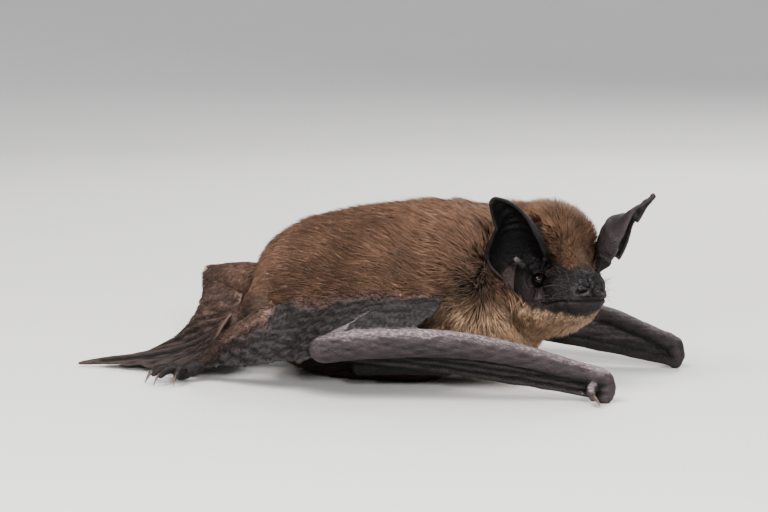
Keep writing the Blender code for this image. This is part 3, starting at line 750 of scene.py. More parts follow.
def finger_path(side, sign, number, shift=0.0):
    """A folded finger's line, from the wrist back to its knuckle by the elbow."""
    end, before = np.array(FOREARM[side][-1]), np.array(FOREARM[side][-2])
    inward = np.array([0.0, -sign, 0.0])
    start = np.array([end[0], end[1], FINGER_DROP[number] + shift * KNUCKLE_STEP])
    start = start + unit(end - before) * 0.9 + inward * FINGER_IN[number] * 0.4
    order = 5 - number - shift
    stepped = np.array([order * -KNUCKLE_STEP, 0, order * -KNUCKLE_STEP])
    knuckle = np.array(FINGER_BACK[side]) + inward * order * 0.5 + stepped
    path = [start]
    for share in (0.3, 0.65):
        lift = np.array([0, 0, 0.4])
        path.append(start + (knuckle - start) * share + lift + inward * FINGER_IN[number] * share)
    return path + [knuckle]


def add_wing(mould, side, sign):
    """One arm with its wrist, thumb and folded fingers, and the skin in front of the elbow."""
    shoulder, elbow = np.array(SHOULDER[side]), np.array(FOREARM[side][0])
    end, before = np.array(FOREARM[side][-1]), np.array(FOREARM[side][-2])
    ahead = unit(end - before)
    inward = np.array([0.0, -sign, 0.0])
    middle = (shoulder + elbow) / 2 + (0, 0, 0.6)
    mould.tube([shoulder, middle, elbow + (middle - elbow) * 0.02], HUMERUS_RADII, "arm", 60, 32)
    mould.tube(FOREARM[side], FOREARM_RADII, "arm", 160, 40)
    top = end + ahead * 1.3 + (0, 0, 0.2)
    knob = [top, top + ahead * 0.4 - (0, 0, 2.0), top - (0, 0, 3.7)]
    mould.tube(knob, [1.55, 1.5, 1.25], "arm", 30, 28, [1.6, 1.7, 1.4], up=ahead)
    thumb = [eased(THUMB[side], share) for share in np.linspace(0, THUMB_CLAW + 0.05, 5)]
    mould.tube(thumb, eased(THUMB_RADII, np.linspace(0, THUMB_CLAW, 5)), "arm", 24, 16)
    for number, heights in FINGER_HEIGHTS.items():
        heights = [height * 0.86 for height in heights]
        mould.tube(finger_path(side, sign, number), [1.1, 0.95, 0.85, 0.65], "finger", 140, 20, heights)
    for number in (3, 4):
        line = [point + inward * 0.45 for point in finger_path(side, sign, number, 0.5)]
        mould.tube(line, [0.7, 0.65, 0.55, 0.45], "finger", 140, 16, [0.26, 0.28, 0.3, 0.3])
    lowest = finger_path(side, sign, 5)

    def folded(s, t):
        under = eased(FOREARM[side], 1 - 0.86 * s) + inward * 0.5 - (0, 0, 0.9)
        flat = under * (1 - t)[..., None] + (eased(lowest, s) + inward * 0.75) * t[..., None]
        return flat + (0.14 * np.sin(9 * math.pi * t))[..., None] * inward

    mould.sheet(folded, 110, 36, SKIN_SHEET, "finger")
    knuckle = np.array(FINGER_BACK[side]) + inward * 3.4 + (-1.0, 0, -4.4)
    along_bundle = end - knuckle
    along_bundle[2] = 0.0
    tip = [knuckle, knuckle + along_bundle * 0.2]
    tip.append(knuckle + along_bundle * 0.38 + inward * 0.3 - (0, 0, 0.6))
    mould.tube(tip, [1.2, 1.2, 0.5], "finger", 60, 20, [1.8, 1.3, 0.5])
    outer = [eased(FOREARM[side], share) + (0, 0, 1.4) for share in (0.1, 0.18, 0.29)]
    lifted = shoulder + (-1.0, sign * 8.6, -0.3)
    inner = []
    for share, rise in ((0.3, 2.8), (0.64, 3.7), (1.0, 1.5)):
        inner.append(elbow + (lifted - elbow) * share + (0, 0, rise))

    def front(s, t):
        crown = np.sin(math.pi * t)
        pleat = crown * (0.3 + s) + 0.3 * np.sin(11 * math.pi * t + 2 * s) * crown * (1 - 0.5 * s)
        return between(inner, outer, s, t) + np.stack([3.0 * crown * s**3, 0 * s, pleat], axis=-1)

    mould.sheet(front, 60, 70, SKIN_SHEET + 0.25, "wing")


def flank(x, height, sign, inside=COAT_SIDE):
    """A point on the side of the trunk's flesh at a height."""
    top, bottom, half = (float(station(TRUNK, column, x)) for column in (1, 2, 3))
    share = min(abs(2 * height - top - bottom) / (top - bottom), 1.0)
    out = half * (1 - share**TRUNK_FULLNESS) ** (1 / TRUNK_FULLNESS)
    return np.array([x, sign * (out + 0.5 - inside * 0.8), height])


def leg_places(side):
    """The hip, knee and ankle of one leg."""
    return (np.array(place[side]) for place in (HIP, KNEE, ANKLE))


def add_thigh(mould, side, radii):
    """A thigh, of flesh or of fur as its half widths say."""
    hip, knee, _ = leg_places(side)
    mould.tube([hip, (hip + knee) / 2 + (0, 0, 0.5), knee], radii, "leg", 40, 28)


def sole_of(side):
    """The direction that a foot aims in, and the end of its sole."""
    ankle = np.array(ANKLE[side])
    aim = unit(np.array([*TOES_AIM[side], 0.0]))
    return aim, ankle + aim * SOLE_LENGTH + (0, 0, 1.6 - ankle[2])


def add_leg(mould, side, sign):
    """One hind leg with its foot and toes."""
    _, knee, ankle = leg_places(side)
    add_thigh(mould, side, THIGH_RADII)
    shin = [knee, (knee + ankle) / 2 + (-0.4, sign * 0.5, 0.3), ankle]
    mould.tube(shin, SHIN_RADII, "leg", 50, 24, up=(1, 0, 0.2))
    _, sole_end = sole_of(side)
    sole = [ankle, (ankle + sole_end) / 2, sole_end]
    mould.tube(sole, [1.25, 1.5, 1.75], "foot", 24, 24, [1.4, 1.45, 1.25])
    for path in toe_paths(side):
        toe = [eased(path, share) for share in np.linspace(0, TOE_CLAW + 0.04, 6)]
        mould.tube(toe, eased([0.8, 0.74, 0.66, 0.36], np.linspace(0, TOE_CLAW, 6)), "foot", 26, 14)
        for share in (0.3, 0.52):
            joint = eased(path, share)
            mould.tube([joint - (0, 0, 0.05), joint + (0, 0, 0.16)], [0.74, 0.66], "foot", 5, 14)


def toe_paths(side):
    """The line of each toe from the sole to its claw's point on the floor."""
    aim, sole_end = sole_of(side)
    paths = []
    for number, turn in enumerate(TOE_FAN, 1):
        cos, sin = math.cos(math.radians(turn)), math.sin(math.radians(turn))
        way = np.array([aim[0] * cos - aim[1] * sin, aim[0] * sin + aim[1] * cos, 0])
        root = sole_end - aim * 0.7 + way * 0.7
        reach = TOE_LENGTH * (0.86 if number in (1, 5) else 1.0)
        path = [root - (0, 0, 0.15)]
        path += [root + way * reach * share + (0, 0, rise) for share, rise in ((0.36, 1.2), (0.72, 0.55))]
        paths.append([*path, root + way * reach + (0, 0, 0.25 - root[2])])
    return paths


def between(first, second, s, t):
    """Points from one curve to another, at shares s along them and t across."""
    return eased(first, s) * (1 - t)[..., None] + eased(second, s) * t[..., None]


def add_side_membrane(mould, side, sign):
    """The wing's skin between the trunk, the elbow and the hind foot."""
    elbow = np.array(FOREARM[side][0])
    _, knee, ankle = leg_places(side)
    inner = [flank(9.0, 19.0, sign), flank(-1.0, 18.4, sign), flank(-10.5, 17.0, sign)]
    if side == "right":
        inner += [knee + (1.0, sign * 0.3, 1.9), knee + (ankle - knee) * 0.5 + (0.5, sign * 0.3, 1.3)]
    else:
        inner += [flank(-20.0, 14.5, sign), knee + (3.0, sign * 0.6, -2.0)]
    inner += [ankle + (1.2, sign * 0.2, 1.6)]
    outer = [flank(9.0, 17.4, sign, 0) + (-4.6, sign * 3.4, -2.4), elbow + (-2.6, 0, -1.7)]
    for share, shift in ((0.3, (0, -sign * 0.7, -1.3)), (0.55, (0, 0, -1.4)), (0.78, (0, 0, -1.0))):
        outer.append(elbow + (ankle - elbow) * share + shift)
    outer.append(ankle + (1.2, sign * 0.8, -0.6))

    def surface(s, t):
        swell = np.sin(math.pi * t)
        fold = 0.4 * np.sin(3 * math.pi * s + 1.5 * t) * swell
        crease = 0.34 * np.sin(15 * math.pi * (t + 0.18 * np.sin(4 * s)) + 3 * s)
        crease = crease * swell * (0.35 + 0.65 * s)
        pucker = 0.16 * np.sin(16 * math.pi * s + 5 * t) * swell * (1 - t)
        rise = (fold + crease + pucker)[..., None] * np.array([0, sign * 0.8, 1.0])
        return between(inner, outer, s, t) + rise

    mould.sheet(surface, 130, 90, SKIN_SHEET, "wing")


def add_tail_membrane(mould, side, sign):
    """The skin between the tail and one hind leg."""
    inner = []
    for share in (0.24, 0.42, 0.6, 0.76, TAIL_FREE):
        inner.append(eased(TAIL, share) + (0, sign * eased(TAIL_RADII, share) * 0.5, -0.1))
    hip, knee, ankle = leg_places(side)
    shin = ankle - knee
    if side == "left":
        outer = [hip + (-7.6, 2.0, 1.2), knee + (0.4, -1.8, -1.0), knee + shin * 0.45 + (-0.4, -1.0, 0)]
        outer += [knee + shin * 0.78 + (-0.6, -0.8, 0), ankle + (-1.2, -0.8, -0.9)]
    else:
        outer = [hip + (-6.4, -1.2, -1.0), hip + (-7.6, -3.4, -3.4), knee + shin * 0.72 + (-1.6, 1.0, 0)]
        outer += [knee + shin * 0.88 + (-1.6, 0.8, 0), ankle + (-1.4, 0.8, -0.9)]

    def surface(s, t):
        sag = -0.9 * np.sin(math.pi * t) * (1 - s) ** 0.5
        inset = 3.2 * np.sin(math.pi * t) * s**3
        crease = 0.2 * np.sin(11 * math.pi * t + 2.5 * s) * np.sin(math.pi * t)
        return between(inner, outer, s, t) + np.stack([inset, 0 * s, sag + crease], axis=-1)

    mould.sheet(surface, 90, 60, SKIN_SHEET, "skirt")


def body_mould():
    """The trunk and neck under their coat, with the tail, limbs and membranes."""
    mould = Mould()
    mould.loft(trunk_rings(), "trunk")
    widths = [half - COAT_SIDE for half in NECK_HALF_WIDTHS]
    heights = [half - NECK_COAT / 2 for half in NECK_HALF_HEIGHTS]
    mould.tube(NECK_PATH, widths, "trunk", 50, 80, heights)
    mould.tube(TAIL, TAIL_RADII, "tail", 90, 22)
    for side, sign in SIDES:
        add_wing(mould, side, sign)
        add_leg(mould, side, sign)
        add_side_membrane(mould, side, sign)
        add_tail_membrane(mould, side, sign)
    return mould


class Pelt:
    """The outline of the coat: trunk, neck, head and thighs to the tips of their fur, in one surface."""

    def __init__(self):
        mould = Mould()
        mould.loft(trunk_rings(0.0, 0.0, 0.0), "trunk")
        mould.tube(NECK_PATH, NECK_HALF_WIDTHS, "trunk", 50, 80, NECK_HALF_HEIGHTS)
        mould.loft(head_rings(0.0), "head")
        for side, _ in SIDES:
            add_thigh(mould, side, THIGH_COAT)
        points, faces, _ = mould.melted(PELT_VOXEL)
        points = relaxed(points, faces, 6, 0.6)
        self.tree = BVHTree.FromPolygons(points.tolist(), faces.tolist())

    def nearest(self, points):
        """The outline's nearest place to each point, its outward way, and the point's depth in it."""
        found = [self.tree.find_nearest(point)[:2] for point in points.tolist()]
        places, ways = np.array([place for place, _ in found]), np.array([way for _, way in found])
        return places, ways, ((places - points) * ways).sum(1)


# Sculpting


def round_eyes(points):
    """Draws the skin into lids that close round each eyeball."""
    for _, sign in SIDES:
        centre, look = eye_centre(sign), eye_look(sign)
        away = points - centre
        distance = np.linalg.norm(away, axis=1)
        near = np.nonzero(distance < 3.6)[0]
        way = away[near] / distance[near][:, None]
        angle = np.degrees(np.arccos(np.clip(way @ look, -1, 1)))
        level = unit(np.cross([0, 0, 1.0], look))
        lie = np.abs((way - (way @ look)[:, None] * look) @ level)
        lie = lie / np.maximum(np.sin(np.radians(angle)), 0.05)
        edge = LID_ANGLE + 7 * lie**2
        inside = EYE_RADIUS - 0.45 + 0.62 * step_up(-9, 0, angle - edge)
        lid = inside + 0.38 * hump(angle - edge, 11, 7)
        hold = 1 - step_up(22, 46, angle - edge)
        goal = distance[near] * (1 - hold) + lid * hold
        outer = angle - edge > 4
        goal = np.where(outer, np.maximum(goal, EYE_RADIUS + 0.12), goal)
        points[near] = centre + way * goal[:, None]
    return points


def mouth_line(ahead):
    """Height of the line between the lips."""
    forward = step_up(MOUTH_BACK, NOSE[0], ahead)
    return MOUTH_HEIGHT + MOUTH_RISE * forward + 0.35 * hump(ahead, MOUTH_BACK + 2.8, 1.8)


def nostril_distance(points, sign):
    """How far points are from a nostril, a short slit that runs back from the side of the nose."""
    start = head_point(NOSE[0] + 0.35, sign * (NOSTRIL_SIDE - 0.1), NOSE[1] + 0.3)
    end = head_point(NOSE[0] - 0.35, sign * (NOSTRIL_SIDE + 0.65), NOSE[1] + 0.1)
    span = end - start
    share = np.clip(((points - start) @ span) / (span @ span), 0, 1)
    return np.linalg.norm((points - start - share[:, None] * span) * (1, 1, 1.2), axis=1)


def sculpt_face(points, faces):
    """The lips, nostrils, muzzle folds and warty cheek of the head's skin."""
    normal = normals_of(points, faces)
    ahead, side, height = in_head(points)
    push = np.zeros(len(points))
    face = step_up(2.5, 5.0, ahead) * step_up(27.0, 24.0, height) * step_up(8.6, 7.6, np.abs(side))
    over = height - mouth_line(ahead)
    lips = step_up(MOUTH_BACK - 0.5, MOUTH_BACK + 0.6, ahead) * step_up(13.2, 12.5, ahead)
    push -= 0.3 * hump(over, 0, 0.15) * lips
    push += 0.16 * hump(over, 0.62, 0.42) * lips + 0.1 * hump(over, -0.55, 0.4) * lips
    push += 0.05 * np.sin(ahead * 5.5) * hump(over, 0.6, 0.5) * lips
    push -= 0.16 * hump(over, 1.7, 0.3) * step_up(8.0, 9.5, ahead) * step_up(12.2, 11.5, ahead)
    push -= 0.3 * hump(side, 0, 0.28) * step_up(11.2, 12.0, ahead) * step_up(17.6, 18.6, height)
    for _, sign in SIDES:
        away = nostril_distance(points, sign)
        push -= 1.1 * np.exp(-((away / 0.4) ** 2))
        push += 0.15 * hump(away, 0.85, 0.22) * step_up(0.5, -0.2, height - NOSE[1])
        from_eye = np.linalg.norm(points - eye_centre(sign), axis=1)
        above = step_up(0.2, 1.4, height - EYE[2])
        push -= (0.1 + 0.16 * above) * hump(from_eye, 3.25, 0.28)
        push += (0.05 + 0.12 * above) * hump(from_eye, 3.9, 0.4)
    push += face * (0.08 * ripple(points, 1.5, 11) + 0.035 * ripple(points, 0.8, 12))
    cheek = hump(ahead, 3.6, 2.2) * hump(height, 18.2, 2.0) * step_up(4.0, 5.5, np.abs(side))
    push += 0.13 * cheek * np.sin(3.4 * (height + 0.6 * ahead) + 1.2 * ripple(points, 2.5, 13))
    brow = hump(ahead, 5.6, 1.2) * hump(height, 23.6, 0.9) * step_up(2.8, 4.2, np.abs(side))
    push += 0.35 * brow
    wart = hump(ahead, 5.4, 0.35) * hump(height, 17.9, 0.35)
    wart = wart + 0.8 * hump(ahead, 3.1, 0.3) * hump(height, 19.0, 0.3)
    push += 0.3 * wart * step_up(4.0, 5.5, np.abs(side))
    return points + normal * push[:, None]


def sculpt_body(points, faces, zones):
    """Grain, tendons and slack folds of the bare skin of the wings, legs and tail."""
    normal = normals_of(points, faces)
    names = ("arm", "finger", "wing", "skirt")
    arm, finger, wing, skirt = (relaxed(on(zones, name).astype(float), faces, 6, 0.6) for name in names)
    push = arm * 0.05 * ripple(points, 1.7, 21, stretch=(5, 1, 1))
    push += arm * 0.04 * ripple(points, 0.9, 22, stretch=(3, 1, 1))
    push += finger * 0.09 * ripple(points, 1.1, 23, stretch=(7, 1, 1))
    push += wing * (0.2 * ripple(points, 1.6, 24, stretch=(3.0, 1, 1)) + 0.08 * ripple(points, 0.8, 25))
    push += skirt * 0.08 * ripple(points, 1.6, 26, stretch=(2.5, 1, 1))
    push += on(zones, "foot", "leg") * 0.05 * ripple(points, 0.9, 27)
    return points + normal * push[:, None]


def body_skin():
    """The skin of everything but the head: its points, triangles and zones."""
    mould = body_mould()
    points, faces, zones = mould.melted(BODY_VOXEL)
    deep = relaxed(on(zones, "trunk").astype(float), faces, 10, 0.6)
    points = relaxed(points, faces, 3, 0.35)
    points = relaxed(points, faces, 14, deep * 0.6)
    points = sculpt_body(points, faces, zones)
    points, faces = thinned(points, faces, BODY_TRIANGLES)
    points[:, 2] = np.maximum(points[:, 2], SKIN_FLOOR)
    return points, faces, mould.zones_at(points)


def head_skin():
    """The skin of the head and ears: its points, triangles and zones."""
    mould = head_mould()
    points, faces, _ = mould.melted(HEAD_VOXEL)
    points = relaxed(points, faces, 3, 0.5)
    points = sculpt_face(points, faces)
    points = round_eyes(points)
    points, faces = thinned(points, faces, HEAD_TRIANGLES)
    return points, faces, mould.zones_at(points)


# Markings, shared by the skin and the coat


def face_bareness(points):
    """1 on the bare part of the face and inside the ears, and 0 in the fur, for points on the head."""
    ahead, side, height = in_head(points)
    left = side > 0
    side = np.abs(side)
    wander = 0.35 * ripple(points, 2.0, 31)
    jaw = [-5.0, -3.0, 1.5, 4.3, 7.0, 10.0, 12.5]
    low = np.interp(ahead, jaw, [20.4, 18.4, 16.8, 16.2, 15.4, 14.9, 14.6])
    brow = np.interp(side, [0.0, 2.3, 3.1, 3.8, 5.1, 6.5], [9.6, 9.4, 7.6, 6.0, 4.4, 3.0])
    temple = np.interp(side, [0.0, 2.3, 3.2, 5.0, 6.4], [9.4, 9.0, 6.0, 1.5, -4.5])
    temple = np.where(left, np.maximum(temple, 2.2), temple)
    start = brow + (temple - brow) * step_up(24.4, 23.2, height)
    bare = step_up(-0.5, 0.5, ahead - start + wander) * step_up(-0.5, 0.6, height - low + wander)
    hollow = np.hypot(ahead - 2.0, (height - 25.4) * 0.85)
    inside = step_up(6.0, 5.2, hollow) * step_up(2.2, 3.2, side) * ~left
    inside = inside * (1 - step_up(25.5, 27.0, height) * step_up(2.2, 3.4, ahead))
    return np.maximum(bare, inside)


def fur_cover(points, normals, zones, depth):
    """How much coat grows at each point of the skin, from 0 to 1. Depth is how far it lies in the pelt."""
    cover = np.zeros(len(points))
    trunk = on(zones, "trunk")
    aside = np.abs(in_head(points[trunk])[1])
    cover[trunk] = 1 - face_bareness(points[trunk]) * step_up(11.0, 10.0, aside)
    head = on(zones, "head")
    cover[head] = 1 - face_bareness(points[head])
    limb = ~on(zones, "trunk", "head", "ear", "foot")
    cover[limb] = step_up(-0.7, 0.9, depth[limb])
    ahead, side, height = in_head(points)
    ear = on(zones, "ear")
    outward = HEAD_LEFT * (np.sign(side) * EAR_OPENS[1])[:, None]
    opening = head_way(EAR_OPENS[0], 0.0, EAR_OPENS[2]) + outward
    behind = step_up(-0.2, -0.7, (normals * opening).sum(1))[ear] * step_up(3.0, 1.0, ahead[ear])
    cover[ear] = 0.7 * step_up(27.5, 23.0, height[ear]) * behind
    x, y, z = points.T
    arm = on(zones, "arm") & (x > 9) & (np.abs(y) < 19)
    cover[arm] = step_up(-2.8, -1.4, depth[arm])
    leg = on(zones, "leg")
    cover[leg] = np.maximum(cover[leg], 0.35 + 0.5 * step_up(3.0, 10.0, z[leg]))
    tail = on(zones, "tail")
    cover[tail] = np.maximum(cover[tail], 0.5 * step_up(-42.0, -28.0, x[tail]))
    skirt = on(zones, "skirt")
    cover[skirt] = np.maximum(cover[skirt], 0.5 * step_up(3.0, 11.0, z[skirt]))
    return cover


def fur_colour(points, normals, zones, depth, colours):
    """The colour of the hairs' tips at points of the skin."""
    x, y, z = points.T
    ahead, side, _ = in_head(points)
    names = ("back", "rump", "flank", "throat", "crown", "forehead", "leg")
    back, rump, shaded_flank_colour, throat, crown, forehead, leg = (np.array(colours[name]) for name in names)
    wander = ripple(points, 7, 41)
    made = mixed(back, rump, step_up(-8.0, -22.0, x + 2.5 * wander))
    # hair that faces down on the flanks and lower sides takes the dark flank colour, as painted shade
    low = step_up(0.65, -0.15, normals[:, 2] + 0.15 * wander) * step_up(-24.0, -8.0, x)
    made = mixed(made, shaded_flank_colour, low)
    front = step_up(15.0, 24.0, x + 6.0 * step_up(19.0, 15.5, z))
    made = mixed(made, throat, front * step_up(21.0, 13.0, z + 1.5 * ripple(points, 5, 42)))
    head = on(zones, "head").astype(float)
    on_crown = head * step_up(18.5, 23.0, z)
    made = mixed(made, crown, on_crown)
    made = mixed(made, forehead, on_crown * step_up(1.0, 5.0, ahead + 0.8 * ripple(points, 3, 45)))
    made = mixed(made, throat, head * step_up(20.0, 16.0, z))
    limbs = ~on(zones, "trunk", "head") * step_up(1.6, 0.4, depth)
    made = mixed(made, leg * (0.32 + 0.68 * step_up(6.0, 14.0, z))[:, None], limbs)
    tone = 1 + 0.15 * ripple(points, 6, 43) + 0.12 * ripple(points, 2.2, 44)
    # the top of the back painted up to a third lighter: painted highlight
    tone = tone * (1 + 0.35 * step_up(27.0, 34.0, z) * (1 - head))
    # painted shade in the hollow of the parting behind each cheek, where dark hair bases also show; the fur
    # below and behind each ear is darkened too
    pit = np.exp(-((parting_distance(points) / 2.0) ** 2)) * step_up(5.0, 9.0, np.abs(y)) * (1 - head)
    behind = head * hump(ahead, -1.0, 2.2) * step_up(27, 21, z) * step_up(5.0, 7.5, np.abs(side))
    tone = tone * (1 - 0.55 * np.clip(pit, 0, 1)) * (1 - 0.5 * np.clip(behind, 0, 1))
    return made * tone[:, None]


def skin_colour(points, zones, cover, fur, colours):
    """The colour of the bare skin, and of the skin under the coat."""
    names = {"trunk": "arm", "head": "face", "leg": "shin", "tail": "skirt"}
    made = np.array([colours[names.get(zone, zone)] for zone in ZONES])[zones]
    _, y, z = points.T
    ahead, side, _ = in_head(points)
    head = on(zones, "head")
    cheek_colour = np.array(colours["cheek"])
    temple = head * step_up(5.5, 9.0, np.abs(side)) * step_up(3.5, 0.5, ahead)
    made = mixed(made, colours["arm"], temple)
    muzzle = head * step_up(5.0, 8.0, ahead) * step_up(17.6, 19.5, z)
    made = mixed(made, colours["muzzle"], 0.9 * muzzle)
    cheek = head * hump(ahead, 3.0, 2.4) * hump(z, 17.6, 2.2) * step_up(4.0, 6.0, np.abs(side))
    lip = head * hump(z - mouth_line(ahead), -0.7, 0.7) * step_up(5.0, 6.5, ahead)
    made = mixed(made, cheek_colour, np.clip(cheek * 0.8 + lip * 0.7, 0, 1))
    for _, sign in SIDES:
        away = nostril_distance(points, sign)
        rim = hump(away, 0.8, 0.25) * step_up(0.4, -0.1, z - NOSE[1])
        made = mixed(made, cheek_colour * 1.6, head * np.clip(rim, 0, 1) * 0.8)
        # the nostrils painted near black: painted shade in their pits
        made *= (1 - 0.93 * head * step_up(0.62, 0.42, away))[:, None]
        from_eye = np.linalg.norm(points - eye_centre(sign), axis=1)
        made = mixed(made, cheek_colour * 2.0, 0.9 * head * hump(from_eye, 1.95, 0.4))
    # a dark line painted between the lips: painted shade in the crease of the mouth
    line = head * hump(z - mouth_line(ahead), 0, 0.16)
    made *= (1 - 0.6 * line * step_up(MOUTH_BACK - 0.5, MOUTH_BACK + 0.6, ahead))[:, None]
    # the far arm and its fingers painted darker than the near ones: painted shade
    made[on(zones, "arm", "finger") & (y > 0)] *= 0.6
    finger = on(zones, "finger")
    # painted highlight along each folded finger and painted shade in the grooves between the fingers
    made[finger] *= (0.2 + 2.6 * finger_painted_light(points[finger]))[:, None]
    ear = on(zones, "ear")
    # the far ear painted four times lighter than the near one: painted light
    made[ear & (side > 0)] *= 4.0
    made = mixed(made, cheek_colour, 0.8 * (ear * step_up(26.0, 23.0, z) * step_up(2.6, 1.0, ahead)))
    for name, sign in SIDES:
        tip = head_point(*(np.array(TRAGUS_PATH[name][-1]) * (1, sign, 1)))
        near = np.exp(-((np.linalg.norm(points - tip, axis=1) / 0.8) ** 2))
        made = mixed(made, colours["tragus"], ear * near)
    share = np.select([on(zones, "trunk") | (head & (z < 24.0)), head], [0.25, 0.45], 0.62)[:, None]
    return mixed(made, fur * share, np.clip(cover * 1.2, 0, 1))


def finger_painted_light(points):
    """1 on the outer side of a folded finger, as a painted highlight, and 0 in the grooves between them, as
    painted shade.
    """
    shares = np.linspace(0, 1, 240)
    fingers = [(side, sign, number) for side, sign in SIDES for number in FINGER_HEIGHTS]
    lines = np.concatenate([eased(finger_path(*finger), shares) for finger in fingers])
    radii = np.tile(eased([0.58, 0.65, 0.7, 0.85], shares), len(fingers))
    closest = nearest(tree_of(lines), points)
    off = (points - lines[closest])[:, 2] / radii[closest]
    return np.clip(1 - np.abs(off - 0.15) ** 2, 0, 1)


def dust_and_top_highlight(points, normals, zones, faces):
    """How much pale dust and painted highlight lie on the skin: most of it on the upper side of the near
    forearm.
    """
    arm = relaxed(on(zones, "arm", "finger").astype(float), faces, 4, 0.6)
    pale = arm * step_up(0.35, 0.95, normals[:, 2]) * step_up(-12.0, 4.0, points[:, 0]) * 0.75
    # the far arm gets a fifth as much, as it lies in shade
    pale *= np.where(points[:, 1] > 0, 0.2, 1.0)
    return np.clip(pale + 0.03 * on(zones, "wing"), 0, 1)


def painted_crease_shade(points, normals, zones, faces):
    """A factor of painted light: painted shade that darkens the skin's creases and a painted highlight that
    lightens its ridges.
    """
    hollow = ((relaxed(points, faces, 4, 0.6) - points) * normals).sum(1)
    return np.clip(1 - hollow / np.where(on(zones, "arm", "head"), 0.07, 0.035), 0.3, 2.4)


# The coat


def sample_roots(points, faces, normals, weight, number, seed):
    """Random places on the skin's triangles, more of them where the weight is high."""
    luck = np.random.default_rng(seed)
    corners = points[faces]
    across = np.cross(corners[:, 1] - corners[:, 0], corners[:, 2] - corners[:, 0])
    area = np.linalg.norm(across, axis=1) / 2
    odds = area * weight[faces].mean(1)
    picked = np.searchsorted(np.cumsum(odds) / odds.sum(), luck.random(number))
    picked = np.minimum(picked, len(faces) - 1)
    u, v = luck.random((2, number))
    over = u + v > 1
    u, v = np.where(over, 1 - u, u), np.where(over, 1 - v, v)
    shares = np.stack([1 - u - v, u, v], axis=1)
    roots = (points[faces[picked]] * shares[..., None]).sum(1)
    return roots, unit((normals[faces[picked]] * shares[..., None]).sum(1)), faces[picked, 0], luck


def from_parting(points):
    """The nearest place on the parting of the same side for each point."""
    start, end = (np.array(place) for place in PARTING)
    flat, span = points[:, ::2], end - start
    share = np.clip(((flat - start) @ span) / (span @ span), 0, 1)
    place = start + share[:, None] * span
    return np.stack([place[:, 0], np.sign(points[:, 1]) * PARTING_SIDE, place[:, 1]], axis=1)


def parting_distance(points):
    """How far each point is from the parting, seen from the side."""
    return np.linalg.norm((points - from_parting(points))[:, ::2], axis=1)


def lie_of_coat(roots, normals, zones):
    """The direction in which the hair lies at each root."""
    x, y, z = roots.T
    ahead, side, _ = in_head(roots)
    away = roots - from_parting(roots)
    distance = np.linalg.norm(away, axis=1)
    spread = (0.2 + 0.6 * np.exp(-distance / 24)) * (1 - 0.75 * step_up(0.45, 0.95, normals[:, 2]))
    spread = spread * (0.12 + 0.88 * step_up(0.0, 8.0, distance))
    chest = step_up(18.5, 25.5, x) * step_up(29.0, 20.0, z)
    rise = 0.5 * step_up(-16.0, -6.0, x) * step_up(17.0, 9.0, x) * step_up(31.0, 26.0, z) - 0.12
    rise -= 0.75 * step_up(-14.0, -22.0, x)
    back = np.stack([-np.ones_like(x), 0 * x, rise], axis=1)
    along = unit(back) * (1 - chest)[:, None] + np.array([0.25, 0.0, -0.95]) * chest[:, None]
    flow = unit(away) * spread[:, None] + along * (1 - spread)[:, None]
    head = on(zones, "head")
    crown = step_up(18.5, 24.0, z)
    backward = -HEAD_FORWARD[None] * (0.55 + 0.4 * crown)[:, None]
    outward = HEAD_LEFT[None] * (np.sign(side) * 0.3 * (1 - 0.6 * crown))[:, None]
    downward = np.array([0, 0, -1.0])[None] * (0.85 * (1 - crown))[:, None]
    flow = np.where(head[:, None], backward + outward + downward, flow)
    leg = on(zones, "leg")
    flow = np.where(leg[:, None], np.array([-0.8, 0.0, -0.6]), flow)
    swirl = np.stack([ripple(roots, 8, seed) for seed in (51, 52, 53)], axis=1) * 0.16
    rough = 0.13 + 0.35 * np.exp(-((distance / 5.0) ** 2)) * (1 - head)
    swirl += np.stack([ripple(roots, 2.6, seed) for seed in (54, 55, 56)], axis=1) * rough[:, None]
    flow = unit(flow) + swirl
    flow -= normals * (flow * normals).sum(1)[:, None]
    return unit(flow)


